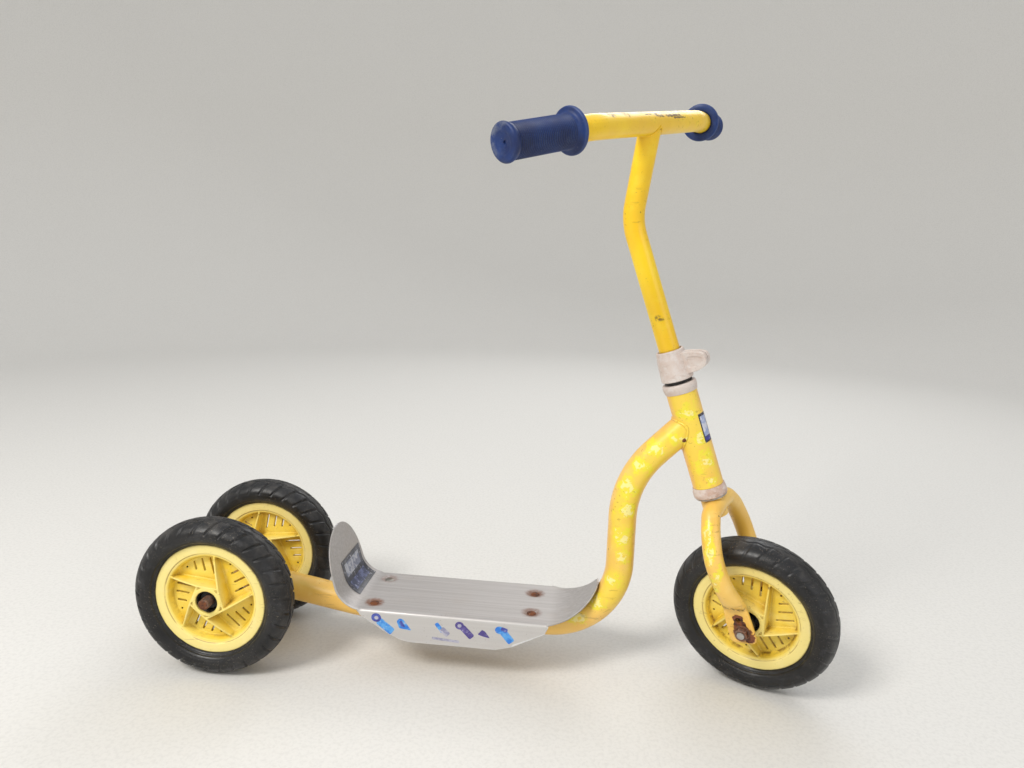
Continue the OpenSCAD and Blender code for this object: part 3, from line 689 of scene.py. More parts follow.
def grip_rubber(name, seed, length=77.0):
    """Deep blue moulded rubber, dusty, with painted shade in the grooves between the rings, and rubbed grey on its end.
    Local Z runs inward from the closed end."""
    m = Mat(name, spec=0.45)
    co = m.map(loc=(seed, 0, seed))
    x, y, z = m.xyz()
    r = m.math("SQRT", m.math("ADD", m.mul(x, x), m.mul(y, y)))
    c = m.mix(m.ramp(m.noise(50, 3, 0.6, co), 0.35, 0.65), lin(10, 34, 84), lin(16, 48, 108))
    hi = m.ramp(m.noise(130, 4, 0.65, co), 0.50, 0.68)
    c = m.mix(m.mul(hi, 0.20), c, lin(44, 66, 118))
    # painted shade in the grooves between the rings
    groove_shade = m.ramp(m.math("SINE", m.mul(m.math("SUBTRACT", z, 0.007), 2 * math.pi / 0.002)), -0.7, 0.6, 1, 0)
    groove_shade = m.mul(groove_shade, m.ramp(z, 0.0066, 0.0072), m.ramp(z, 0.0688, 0.0694, 1, 0))
    c = m.mix(m.mul(groove_shade, 0.62), c, lin(4, 10, 30))
    dust = m.mul(m.ramp(m.noise(90, 4, 0.7, co), 0.50, 0.66), 0.35)
    c = m.mix(m.mul(dust, 0.35), c, lin(70, 88, 128))
    # worn grey rim on the closed end, on one side more than the other
    endf = m.mul(m.ramp(z, 0.0004, 0.0042, 1, 0), m.ramp(r, 0.0085, 0.0125))
    wear = m.mul(endf, m.ramp(m.noise(95, 4, 0.7, co), 0.36, 0.56))
    wear = m.mul(wear, m.ramp(m.math('ADD', y, x), -0.002, 0.008))
    c = m.mix(m.mul(wear, 0.62), c, lin(116, 122, 134))
    rim = m.mul(m.ramp(m.math("ABSOLUTE", m.math("SUBTRACT", z, (length - 2) * MM)), 0.0018, 0.0026, 1, 0), m.ramp(r, 0.0185, 0.0196))
    c = m.mix(m.mul(rim, 0.3), c, lin(70, 90, 140))
    spk = m.ramp(m.noise(900, 2, 0.6, co), 0.68, 0.75)
    c = m.mix(m.mul(spk, 0.4), c, lin(150, 150, 150))
    m.set("Base Color", c)
    m.set("Roughness", m.math("ADD", m.ramp(m.noise(110, 3, 0.6, co), 0.3, 0.7, 0.40, 0.56), m.mul(wear, 0.2)))
    m.bump((m.noise(800, 3, 0.6, co), 0.06, 0.45), (m.mul(wear, m.noise(400, 3)), 0.2, 0.5))
    return m.m


def print_mat(name, a, b, seed, edge_dark=True):
    """A worn printed film, two tones mottled together."""
    m = Mat(name, spec=0.5, coat=0.3, coat_rough=0.15)
    co = m.map(loc=(seed, 0, seed))
    c = m.mix(m.ramp(m.noise(130, 3, 0.6, co), 0.42, 0.58), a, b)
    c = m.mix(m.mul(m.ramp(m.noise(260, 4, 0.7, co), 0.58, 0.68), 0.6), c, lin(196, 196, 206))
    m.set("Base Color", c)
    m.set("Roughness", m.ramp(m.noise(150, 3, 0.6, co), 0.3, 0.7, 0.28, 0.45))
    m.bump((m.noise(300, 3, 0.6, co), 0.06, 0.4))
    return m.m


# ---------------------------------------------------------------- booleans
def solid_obj(name, part):
    me = bpy.data.meshes.new(name)
    me.from_pydata([tuple(p) for p in part[0]], [], [tuple(f) for f in part[1]])
    bm = bmesh.new()
    bm.from_mesh(me)
    bmesh.ops.recalc_face_normals(bm, faces=bm.faces)
    bm.to_mesh(me)
    bm.free()
    o = bpy.data.objects.new(name, me)
    bpy.context.scene.collection.objects.link(o)
    return o


def cut(part, tools):
    """part minus tools, both closed, in mm."""
    a, b = solid_obj("cut_a", part), solid_obj("cut_b", tools)
    m = a.modifiers.new("b", "BOOLEAN")
    m.operation = "DIFFERENCE"
    m.solver = "EXACT"
    m.object = b
    dg = bpy.context.evaluated_depsgraph_get()
    me = bpy.data.meshes.new_from_object(a.evaluated_get(dg))
    out = [tuple(v.co) for v in me.vertices], [tuple(p.vertices) for p in me.polygons]
    for o in (a, b):
        bpy.data.objects.remove(o)
    bpy.data.meshes.remove(me)
    return out


def box(x0, y0, z0, x1, y1, z1):
    return prism([(x0, y0), (x1, y0), (x1, y1), (x0, y1)], z0, z1)


# ---------------------------------------------------------------- materials in use
M_RIM = {k: rim_plastic("rim_" + k, s, mud) for k, s, mud in (("front", 3.1, 0.9), ("right", 0.4, 0.35), ("left", 1.7, 0.6))}
M_TYRE = {k: tyre_rubber("tyre_" + k, s, d) for k, s, d in (("front", 2.2, 0.8), ("right", 0.6, 1.0), ("left", 4.4, 1.0))}
M_BORE = black_plastic("bore_black", 1.3)
M_BLACK = black_plastic("black_plastic", 0.3)
M_RUST = rusty("rusty_steel", 0.0)
M_RUST_DARK = rusty("rusty_dark", 2.0, 0.25, 0.1)
M_ZINC = zinc("zinc_steel", 0.5)
M_PALE = pale_plastic("pale_plastic", 0.0, 0.35)
M_CUP = pale_plastic("cup_plastic", 1.3, 0.95)


# ---------------------------------------------------------------- wheels
def tyre_mesh(seg, lugs, deep, sidewall):
    share = [(0, 0.6), (0.1, 0.79), (0.23, 0.92), (0.38, 0.985), (0.5, 0.995), (0.65, 0.95), (0.81, 0.79), (0.92, 0.55), (0.985, 0.29), (1, 0.1)]
    p = np.array([(64 + s * 26, 21 * w) for s, w in share] + [(90, 0)])
    for _ in range(3):
        q = np.empty((2 * len(p) - 2, 2))
        q[0::2] = p[:-1] * 0.75 + p[1:] * 0.25
        q[1::2] = p[:-1] * 0.25 + p[1:] * 0.75
        p = np.vstack([p[:1], q, p[-1:]])
    d = np.concatenate([[0], np.cumsum(np.linalg.norm(np.diff(p, axis=0), axis=1))])
    n = 44
    t = np.linspace(0, d[-1], n)
    half = np.column_stack([np.interp(t, d, p[:, 0]), np.interp(t, d, p[:, 1])])
    tan = np.gradient(half, axis=0)
    nrm = np.column_stack([-tan[:, 1], tan[:, 0]])
    nrm /= np.linalg.norm(nrm, axis=1)[:, None]
    nrm[nrm[:, 0] * 0 + nrm[:, 1] < 0] *= -1
    nrm[-1] = (1, 0)
    run = t / d[-1]
    ang = np.arange(seg) * 2 * math.pi / seg
    rows = []
    for side in (-1, 1):
        for j in (range(n) if side < 0 else range(n - 2, -1, -1)):
            r, z, q = half[j, 0], half[j, 1], run[j]
            ph = ang * lugs / (2 * math.pi) + (0.5 if side > 0 else 0) + side * 1.1 * (q - 0.55)
            fr = np.abs(ph - np.round(ph))
            win = float(smooth01(q, 0.34, 0.46) * (1 - smooth01(q, 0.86, 0.93)))
            worn = 0.72 + 0.28 * np.sin(ang * 3 + side) * np.sin(ang * 7 + 1.3)
            cut_d = deep * win * (1 - smooth01(fr, 0.045, 0.115)) * worn
            zz = ang * lugs / (2 * math.pi)
            mid = 4.6 + 1.5 * (2 * np.abs(2 * (zz - np.floor(zz)) - 1) - 1)
            cut_d = np.maximum(cut_d, 0.75 * deep * (1 - smooth01(np.abs(z - mid), 0.5, 1.3)) * (1 if q > 0.7 else 0))
            # the sidewall carries two fine rings and a bead groove; the lug tops' bulge is multiplied by zero, so they
            # stay flat
            cut_d = cut_d + 0.28 * win * (1 - np.cos(2 * math.pi * ph)) * 0.0 + 0.32 * (1 - smooth01(abs(q - 0.085), 0.008, 0.03)) * 3.2
            cut_d = cut_d + 0.25 * sidewall * (1 - smooth01(abs(q - 0.205), 0.004, 0.016)) + 0.3 * (1 - smooth01(abs(q - 0.40), 0.003, 0.014))
            lump = np.array([noise.noise(Vector((math.cos(a) * 2.6, math.sin(a) * 2.6, q * 1.3 + side))) for a in ang[::8]])
            lump = np.interp(np.arange(seg), np.arange(0, seg + 1, 8), np.append(lump, lump[0])) * 0.22
            dd = cut_d + 0.12 + np.clip(lump, -0.1, 0.3)
            rr = r - nrm[j, 0] * dd
            zv = side * (z - nrm[j, 1] * dd)
            rows.append(np.column_stack([rr * np.cos(ang), rr * np.sin(ang), zv]))
    for zc in (12.4, 0, -12.4):
        rows.append(np.column_stack([64.02 * np.cos(ang), 64.02 * np.sin(ang), np.full(seg, zc)]))
    v = np.vstack(rows)
    return v, grid_faces(len(rows), seg, wrap_u=True, wrap_v=True)


def rim_parts():
    side = [(63.2, 12.5), (58.5, 12.45), (53.9, 12.1), (53.4, 11.5), (53.0, 11.0), (50.6, 10.5), (50.0, 9.9), (47.4, 3.4), (47.0, 2.2)]
    prof = [(63.95, -11.8), (63.2, -12.5)] + [(r, -z) for r, z in side[1:]] + [(r, z) for r, z in side[::-1]] + [(63.95, 11.8)]
    ring = lathe(prof, 180, closed=True)
    hub = lathe([(12.6, -19.4), (15.8, -19.5), (16.5, -18.9), (17.3, -4), (17.3, 4), (16.5, 18.9), (15.8, 19.5), (12.6, 19.4)], 96, closed=True)
    # solid corners where the vanes run past the hub
    five = [(18.6 * math.cos(math.radians(126 + 72 * k)), 18.6 * math.sin(math.radians(126 + 72 * k))) for k in range(5)]
    bore = lathe([(0, -30), (12.6, -30), (12.6, 30), (0, 30)], 96)
    block = cut(prism(five, -17.4, 17.4), bore)
    web = lathe([(15.4, -2.4), (49.5, -2.4), (49.5, 2.4), (15.4, 2.4)], 128, closed=True)
    slots = []
    for k in range(5):
        m = R("Z", 72 * k)
        for j in range(4):
            y = 6 - j * 10
            far = max(abs(y), abs(y + 1.7))
            to = math.sqrt(45 * 45 - far * far)
            ln = 2.0 if j > 2 else 20 - j * 4.6
            slots.append(moved(box(to - ln, y - 0.25, -6, to, y + 1.95, 6), m))
    web = cut(web, merge(*slots))
    vanes = []
    for k in range(5):
        sec = []
        for x, h, t0, t1 in ((-12.6, 18.6, 1.5, 1.0), (0, 19.0, 1.9, 1.0), (13, 19.0, 1.9, 1.0), (30, 15.4, 1.7, 0.95), (48.2, 10.6, 1.5, 0.9)):
            sec.append([(x, 16.5 + a, b) for a, b in ((-t1, -h), (t1, -h), (t0, 0), (t1, h), (-t1, h), (-t0, 0))])
        v = [p for s in sec for p in s]
        f = grid_faces(5, 6, wrap_v=True) + [tuple(range(6))[::-1], tuple(range(24, 30))]
        vanes.append(moved((v, f), R("Z", 72 * k)))
    return [ring, hub, block, web] + vanes


rim_me = voxel("rim_skin", rim_parts(), 0.55, 2, 0.45)
rear_tyre = tyre_mesh(640, 32, 2.2, 1.0)
front_tyre = tyre_mesh(640, 32, 0.9, 1.0)
BODY = {"front": "front_wheel", "right": "rear_wheel_right", "left": "rear_wheel_left"}
NODE = {"front": ("front_tyre", "front_rim", "front_bush"), "right": ("rear_tyre_right", "rear_rim_right", "rear_bush_right"),
        "left": ("rear_tyre_left", "rear_rim_left", "rear_bush_left")}
bush_prof = [(6.15, -9.8), (7.4, -9.8), (7.8, -9.0), (10.4, -9.0), (11.0, -9.8), (11.2, -16.6), (11.7, -17.2), (12.55, -16.8), (12.55, 16.8), (11.7, 17.2), (11.2, 16.6), (11.0, 9.8), (10.4, 9.0), (7.8, 9.0), (7.4, 9.8), (6.15, 9.8)]
for key in ("front", "right", "left"):
    place, spin = upright(WHEELS[key])
    v, f = front_tyre if key == "front" else rear_tyre
    add("tyre_" + key, v, f, M_TYRE[key], BODY[key], at=spin, slot="tyre", swaps=[NODE[key][0]], sharp=0, place=place)
    me = rim_me.copy()
    me.transform(spin)
    wrap("rim_" + key, me, M_RIM[key], BODY[key], [NODE[key][1]], 0, place)
    v, f = lathe(bush_prof, 96, closed=True)
    add("bush_" + key, v, f, M_BLACK, BODY[key], slot="black_plastic", swaps=[NODE[key][2]], sharp=35, place=place)


# ---------------------------------------------------------------- deck
TOPZ, HW, RB, SHEET = -13.0, 48.5, 4.2, 2.0
SCREWS = [(352, 23), (352, -23), (172, 30), (172, -30)]
C75, S75 = math.cos(math.radians(75)), math.sin(math.radians(75))
HEEL_C, TONGUE_C = (162.0, TOPZ + 30), (372.0, TOPZ + 57)
ARC0 = (HEEL_C[0] - 30 * S75, HEEL_C[1] - 30 * C75)


def deck_stations():
    """(x, z, normal x, normal z, half width, flange depth) from the heel stop's top to the tongue."""
    out = []
    for phi in list(np.linspace(84, 12, 26)) + [6, 0]:
        z = 6 + 59.6 * math.sin(math.radians(phi)) ** 0.87
        w = HW * math.cos(math.radians(phi)) ** 0.98
        h = (z - ARC0[1]) / S75
        if h > 0:
            out.append((ARC0[0] - C75 * h, z, S75, C75, max(w, 5.0), 0.55))
    last = out[-1]
    for t in np.linspace(195, 270, 26):
        a = math.radians(t)
        x, z = HEEL_C[0] + 30 * math.cos(a), HEEL_C[1] + 30 * math.sin(a)
        w = HW * math.cos(math.radians(max(0, (z - 6) / 59.6 * 20)))
        w = HW if z < 6 else min(HW, max(last[4], w))
        out.append((x, z, -math.cos(a), -math.sin(a), w, 0.55))
    xs = [162.8, 163.6, 164.4, 165.2, 166, 167] + list(np.arange(168.2, 368.5, 1.35)) + [369, 369.8, 370.6, 371.4]
    for x in xs:
        out.append((x, TOPZ, 0, 1, HW, 0.55))
    for t in np.linspace(0, 66, 40):
        a = math.radians(t)
        x = TONGUE_C[0] + 57 * math.sin(a)
        w = float(np.interp(x, [366, 372, 376, 382, 388, 394, 400, 406, 411, 416, 420, 422.8, 424.3], [48.5, 47.9, 46.0, 42.6, 39.7, 36.8, 33, 29, 25, 20.2, 15.3, 10.8, 6.0]))
        out.append((x, TONGUE_C[1] - 57 * math.cos(a), -math.sin(a), math.cos(a), w, 0.55))
    # flange depth, from the front of the heel's bend to the root of the tongue
    dx = [158.2, 160.2, 191, 206.6, 216, 315, 333, 369.6, 371.0]
    dd = [0.55, 6.6, 25.8, 32.8, 34.8, 34.8, 29.8, 10.8, 0.55]
    return [(x, z, nx, nz, w, float(np.interp(x, dx, dd, left=0.55, right=0.55)) if z < 2 else 0.55) for x, z, nx, nz, w, _ in out]


def deck_grid():
    st = deck_stations()
    nf, nb, nl = 63, 7, 17
    P = []
    for x, z, nx, nz, w, d in st:
        d = max(d, 0.55)
        al = math.pi / 2 if d >= RB else math.acos(1 - d / RB)
        fw = w - RB * math.sin(al)
        row = []
        for y in np.linspace(-fw, fw, nf):
            drop = 0.0
            for sx, sy in SCREWS:
                q = math.hypot(x - sx, y - sy)
                if q < 10.5:
                    drop = max(drop, 1.3 * (1 - float(smooth01(q, 5.8, 9.6))))
            # the sheet isn't quite flat any more
            drop += 0.16 * noise.noise(Vector((x * 0.018, y * 0.03, z * 0.02))) + 0.05 * noise.noise(Vector((x * 0.09, y * 0.11, 3)))
            row.append((y, -drop))
        side = [(fw + RB * math.sin(al * k / nb), -RB * (1 - math.cos(al * k / nb))) for k in range(1, nb + 1)]
        rest = d - RB * (1 - math.cos(al))
        side += [(w, side[-1][1] - rest * k / nl) for k in range(1, nl + 1)]
        if rest < 0.01:
            side = side[:nb] + [(side[nb - 1][0] + 0.012 * k, side[nb - 1][1] - 0.012 * k) for k in range(1, nl + 1)]
        row = [(-a, b) for a, b in side[::-1]] + row + side
        P.append([(x + nx * b, a, z + nz * b) for a, b in row])
    return np.array(P)


def thicken(P, t, out_n=None):
    """A closed sheet of thickness t behind the grid P."""
    du = np.gradient(P, axis=0)
    dv = np.gradient(P, axis=1)
    n = np.cross(du, dv)
    n /= np.maximum(np.linalg.norm(n, axis=2), 1e-9)[:, :, None]
    mid = n[P.shape[0] // 2, P.shape[1] // 2]
    if mid[2] < 0:
        n = -n
    Q = P - n * t
    nu, nv = P.shape[:2]
    v = np.vstack([P.reshape(-1, 3), Q.reshape(-1, 3)])
    o = nu * nv
    f = grid_faces(nu, nv) + [q[::-1] for q in grid_faces(nu, nv, off=o)]
    for i in range(nu - 1):
        for j in (0, nv - 1):
            f.append((i * nv + j, (i + 1) * nv + j, (i + 1) * nv + j + o, i * nv + j + o))
    for j in range(nv - 1):
        for i in (0, nu - 1):
            f.append((i * nv + j, i * nv + j + 1, i * nv + j + 1 + o, i * nv + j + o))
    return v, f


M_DECK = deck_metal("deck_metal", [((SCREWS[0][0] - 299, SCREWS[0][1], 77), 0.9), ((SCREWS[1][0] - 299, SCREWS[1][1], 77), 0.75),
                                   ((SCREWS[2][0] - 299, SCREWS[2][1], 77), 0.5), ((SCREWS[3][0] - 299, SCREWS[3][1], 77), 1.0)])
deck_pts = deck_grid()
v, f = thicken(deck_pts, SHEET)
deck = add("deck_plate_sheet", v, f, M_DECK, "frame", at=M_REAR, slot="deck_metal", swaps=["deck_plate"], sharp=50)
mod(deck, "BEVEL", width=0.00055, segments=2, limit_method="ANGLE", angle_limit=math.radians(55), use_clamp_overlap=True)

# screws: domed heads with a cross recess, sitting in the dimples
cross = merge(box(-3.1, -0.62, 0.35, 3.1, 0.62, 3), box(-0.62, -3.1, 0.35, 0.62, 3.1, 3))
head = lathe([(0, -1.2), (2.9, -1.2), (2.9, -0.25), (5.3, -0.25), (5.5, 0.0), (5.35, 0.3), (4.4, 0.8), (2.6, 1.1), (0, 1.2)], 64)
head = cut(head, cross)
for i, (sx, sy) in enumerate(SCREWS):
    v, f = moved(head, T(sx, sy, TOPZ - 1.25) @ R("Z", 17 + 31 * i))
    add("deck_screw_%d" % (i + 1), v, f, M_RUST if i != 2 else M_ZINC, "frame", at=M_REAR, slot="rusty_steel", swaps=["deck_screws"] if i == 0 else (), sharp=35)


# worn films: generic shapes, raised by a hair over the flange
def film(name, outline, mat, y=-48.5, body="frame"):
    """A thin film with outline (x, z) on the near flange."""
    n = len(outline)
    v = [(x, y + 0.05, z) for x, z in outline] + [(x, y - 0.14, z) for x, z in outline]
    f = [tuple(range(n)), tuple(range(n, 2 * n))[::-1]] + [(i, n + i, n + (i + 1) % n, (i + 1) % n) for i in range(n)]
    return add(name, v, f, mat, body, at=M_REAR, slot="blue_grip", sharp=30)


def round_poly(pts, r=1.0, k=4):
    out = []
    n = len(pts)
    for i in range(n):
        a, b, c = (np.array(pts[j % n], float) for j in (i - 1, i, i + 1))
        u1, u2 = unit(a - b), unit(c - b)
        q = min(r, 0.45 * np.linalg.norm(a - b), 0.45 * np.linalg.norm(c - b))
        p1, p2 = b + u1 * q, b + u2 * q
        for t in np.linspace(0, 1, k):
            out.append(tuple((1 - t) ** 2 * p1 + 2 * t * (1 - t) * b + t * t * p2))
    return out


def slab(c, ln, wd, deg, r=1.2):
    a = math.radians(deg)
    d, n = (math.cos(a), math.sin(a)), (-math.sin(a), math.cos(a))
    return round_poly([(c[0] + d[0] * x + n[0] * y, c[1] + d[1] * x + n[1] * y) for x, y in ((-ln / 2, -wd / 2), (ln / 2, -wd / 2), (ln / 2, wd / 2), (-ln / 2, wd / 2))], r)


def disc(c, rx, ry, n=28):
    return [(c[0] + rx * math.cos(2 * math.pi * i / n), c[1] + ry * math.sin(2 * math.pi * i / n)) for i in range(n)]


F_BLUE = print_mat("film_blue", lin(36, 116, 208), lin(84, 160, 226), 0.2)
F_DEEP = print_mat("film_deep", lin(52, 52, 140), lin(70, 84, 170), 0.9)
F_VIOLET = print_mat("film_violet", lin(72, 60, 130), lin(96, 84, 150), 1.4)
F_GREY = print_mat("film_grey", lin(140, 140, 166), lin(176, 174, 190), 2.1)
F_DARK = print_mat("film_dark", lin(26, 28, 44), lin(40, 42, 62), 2.6)
F_WHITE = print_mat("film_white", lin(206, 208, 222), lin(150, 166, 206), 3.3)
film("film_1a", slab((190, -31), 21, 9, -38, 2), F_BLUE)
film("film_1b", disc((179.5, -21.5), 5.6, 5.2), F_DEEP, y=-48.56)
film("film_1c", disc((179.8, -21.6), 2.4, 2.2), F_GREY, y=-48.66)
film("film_2a", round_poly([(203, -24), (206, -20), (210.5, -21), (220, -33.5), (206, -32)], 1.5), F_BLUE)
film("film_2b", round_poly([(206, -24), (209, -22.5), (213, -30), (208, -29.5)], 1.0), F_DEEP, y=-48.56)
film("film_3a", slab((252, -27), 13, 4.6, -52, 1.6), F_BLUE)
film("film_3b", slab((258, -31.5), 11, 6.4, -42, 1.6), F_GREY, y=-48.56)
film("film_4a", slab((283, -29.5), 17, 7.4, -46, 2), F_VIOLET)
film("film_4b", disc((274.6, -22.4), 5.0, 4.6), F_VIOLET, y=-48.56)
film("film_4c", disc((274.6, -22.4), 2.3, 2.1), F_GREY, y=-48.66)
film("film_5a", round_poly([(295, -31), (300, -25), (303.5, -27), (309, -34.5), (301, -33)], 1.3), F_VIOLET)
film("film_6a", slab((328, -31), 16, 8.4, -50, 2), F_BLUE)
film("film_6b", disc((319.6, -23.6), 5.2, 4.4), F_BLUE, y=-48.56)
film("film_6c", slab((324.6, -22.6), 7.5, 4.4, -20, 1.6), F_DEEP, y=-48.62)
film("film_line", slab((259, -41.2), 31, 2.9, -3.5, 0.5), F_GREY)


# heel stop's plain framed film, following the sheet
def on_heel(s, y, lift):
    """s is the distance up the heel stop from the top of its bend, less than 0 in the bend."""
    if s >= 0:
        x, z, nx, nz = ARC0[0] - C75 * s, ARC0[1] + S75 * s, S75, C75
    else:
        a = math.radians(195 - s / 30 * 180 / math.pi)
        x, z, nx, nz = HEEL_C[0] + 30 * math.cos(a), HEEL_C[1] + 30 * math.sin(a), -math.cos(a), -math.sin(a)
    return (x + nx * lift, y, z + nz * lift)


def heel_film(name, s0, s1, y0, y1, lift, mat):
    P = np.array([[on_heel(s, y, lift) for y in np.linspace(y0, y1, 12)] for s in np.linspace(s0, s1, 22)])
    v, f = thicken(P, 0.12)
    return add(name, v, f, mat, "frame", at=M_REAR, slot="blue_grip", sharp=40)


heel_film("film_heel", -28, 17.5, -19, 41, 0.40, F_DARK)
heel_film("film_heel_a", -22, -10, -13, 33, 0.48, print_mat("film_mix", lin(44, 52, 84), lin(92, 100, 140), 4.2))
heel_film("film_heel_b", -4, 12, -13, 33, 0.48, print_mat("film_mix2", lin(166, 168, 178), lin(92, 98, 124), 5.0))


# ---------------------------------------------------------------- paints
def at_world(m, p):
    q = m @ Vector(p)
    return (q.x, q.y, q.z)


tube_marks = []
for i, (x, z, rx, rz) in enumerate([(203, 286, 8, 5), (178, 275, 9, 6), (164, 253, 9, 7), (151, 229, 8, 9), (153, 203, 9, 6), (150, 172, 8, 9), (150, 146, 6, 7), (141, 119, 9, 6), (126, 92, 8, 7), (104, 71, 9, 6)]):
    for y in (-14, 14):
        tube_marks.append(((x, y, z), (rx, 9, rz)))
for u, v, ru, rv in ((-1, 244, 7, 7), (4, 212, 5, 5), (2, 186, 7, 10), (3, 164, 4, 5)):
    for s in (-15, 15):
        tube_marks.append((at_world(M_HEAD, (u, s, v)), (ru, 8, rv)))
weld_mark = at_world(M_HEAD, (-12, -13, 214))
P_FRAME = paint("paint_frame", lin(246, 200, 104), lin(238, 186, 82), lin(249, 216, 138), marks=((6.0, 12.5, 84), tube_marks),
                rust=[(weld_mark, 2.4)], chips=0.6, seed=0.2)
leg_marks = []
for v, s, r in ((122, 42, 8), (103, 50, 13), (74, 54, 12)):
    for k in (-1, 1):
        leg_marks.append((at_world(M_FORK, (7, k * (s + 6), v)), (4.5, 7, r)))
fork_rust = []
for k in (-1, 1):
    fork_rust += [(at_world(M_FORK, (8.6, k * 39, 0)), 11.0), (at_world(M_FORK, (8.2, k * 39, 9)), 7.0), (at_world(M_FORK, (7.6, k * 39, 15)), 6.0),
                  (at_world(M_FORK, (14, k * 39, -7)), 6)]
P_FORK = paint("paint_fork", lin(246, 202, 104), lin(238, 188, 82), lin(249, 218, 140), marks=(None, leg_marks), rust=fork_rust, chips=1.0, seed=1.1,
               scuffs=[(at_world(M_FORK, (8, -42, 31)), (14, 8, 4))])
bar_scuffs = [(at_world(M_BAR, (56, s, 540)), (7, 7, 3)) for s in (-64, -92)]
BAR_Y = tuple(M_BAR.to_3x3() @ Vector((0, 1, 0)))
P_BAR = paint("paint_bar", lin(252, 212, 16), lin(243, 195, 12), lin(253, 223, 62), chips=0.7, seed=2.3,
              scuffs=bar_scuffs + [(at_world(M_BAR, (4, -11, 346)), (5, 4, 3))],
              lines=[(at_world(M_BAR, p), BAR_Y, h, r) for p, h, r in
                     (((58.6, 24, 536.4), 30, 1.6), ((57.4, -14, 538.2), 12, 1.0), ((59.2, 46, 533.8), 14, 0.9), ((55.6, 30, 540.4), 22, 0.8))])
P_AXLE = paint("paint_axle", lin(236, 180, 60), lin(218, 158, 44), lin(242, 200, 96), chips=1.0, seed=3.7,
               rust=[((-299, k * 44, 88), 9) for k in (-1, 1)] + [((-288, 0, 70), 9)])


# ---------------------------------------------------------------- fork
def clip(part, point, normal):
    """Keeps the side of a closed part that the normal points away from, and caps it."""
    bm = bmesh.new()
    vs = [bm.verts.new(p) for p in part[0]]
    for f in part[1]:
        try:
            bm.faces.new([vs[i] for i in f])
        except ValueError:
            pass
    g = bmesh.ops.bisect_plane(bm, geom=bm.verts[:] + bm.edges[:] + bm.faces[:], plane_co=point, plane_no=normal, clear_outer=True)
    edges = [e for e in g["geom_cut"] if isinstance(e, bmesh.types.BMEdge)]
    bmesh.ops.contextual_create(bm, geom=edges)
    bm.verts.ensure_lookup_table()
    bm.verts.index_update()
    out = [tuple(v.co) for v in bm.verts], [tuple(v.index for v in f.verts) for f in bm.faces]
    bm.free()
    return out


def leg_part():
    top = rounded_path([(5, -1, 132.7), (5, 25, 131.2), (5.2, 38.5, 117), (4.5, 50.5, 90), (6.5, 49, 58), (7.6, 43.6, 42)], [0, 14, 40, 60, 60, 0], 1.5)
    low = [(7.9, 41.6, 37.5), (7.8, 40.4, 35), (7.6, 39.4, 33), (7.4, 38.5, 31), (7.3, 37.8, 29), (7.2, 37.3, 27), (7.1, 37.05, 25)]
    low += [(float(np.interp(v, [-9, 10, 25], [6.9, 6.8, 7.1])), 37.0, float(v)) for v in np.arange(23.5, -9.5, -1.5)]
    low += [(6.9, 37.0, -10.2), (6.85, 37.0, -11.3), (6.8, 37, -12.2), (6.75, 37, -12.9), (6.7, 37, -13.4)]
    path = np.vstack([top, low])
    dist = np.concatenate([[0], np.cumsum(np.linalg.norm(np.diff(path, axis=0), axis=1))])
    vv = path[:, 2]
    kv = [-13.4, -12.9, -12.2, -11.3, -10.2, -9, 10, 20, 26, 29, 32, 36, 42, 50, 60, 300]
    kw = [9.6, 11.0, 12.3, 13.2, 13.9, 14.3, 14.0, 13.3, 12.7, 12.4, 12.1, 11.6, 10.9, 10.2, 10.0, 10.0]
    kt = [2.2, 2.5, 2.6, 2.6, 2.6, 2.6, 2.6, 2.6, 2.75, 3.5, 5.6, 7.6, 9.2, 9.9, 10.0, 10.0]
    kn = [5, 5, 5, 5, 5, 5, 5, 5, 4.6, 3.8, 3.0, 2.5, 2.2, 2.05, 2, 2]

    def sec(s, a):
        v = float(np.interp(s, dist, vv))
        return super_xy(a, float(np.interp(v, kv, kw)), float(np.interp(v, kv, kt)), float(np.interp(v, kv, kn)))

    part = sweep(path, sec, seg=56, up=(1, 0, 0))
    return clip(part, (0, 0, 142.3), (0, 0, 1))


leg = leg_part()
hole = moved(lathe([(0, -9), (3.0, -9), (3.0, 9), (0, 9)], 40), T(7.6, 37, 14.2) @ ALONG_Y)
leg = cut(leg, hole)
# the steerer's bore stays clear for the stem
leg = cut(leg, lathe([(0, 100), (12.1, 100), (12.1, 170), (0, 170)], 96))
for k, side in ((-1, "right"), (1, "left")):
    v = [(x, k * y, z) for x, y, z in leg[0]]
    add("fork_leg_%s_tube" % side, v, leg[1], P_FORK, "steering", at=M_FORK, slot="yellow_paint", swaps=["fork_leg_" + side], sharp=38)


def nut(z0, z1, flat=6.5):
    def f(r, z, a, j):
        h = flat / math.cos((a % (math.pi / 3)) - math.pi / 6)
        return min(r, h), z
    return lathe([(4.05, z0), (7.0, z0), (7.5, z0 + 0.6), (7.5, z1 - 0.9), (6.5, z1), (4.6, z1), (4.05, z1 - 0.5)], 96, closed=True, func=f)


AX = M_FORK @ T(OFFSET, 0, 0) @ ALONG_Y
parts = []
for k in (0, 1):
    m = R("X", 180 * k)
    parts.append(moved(lathe([(4.05, 39.6), (8.1, 39.6), (8.3, 39.9), (8.2, 40.5), (7.8, 40.75), (4.05, 40.75)], 72, closed=True), m))
    parts.append(moved(nut(40.7, 46.3), m @ R("Z", 14 + 20 * k)))
v, f = merge(*parts)
add("front_axle_nut_pair", v, f, M_RUST, "steering", slot="rusty_steel", swaps=["front_axle_nuts"], sharp=30, at=AX)

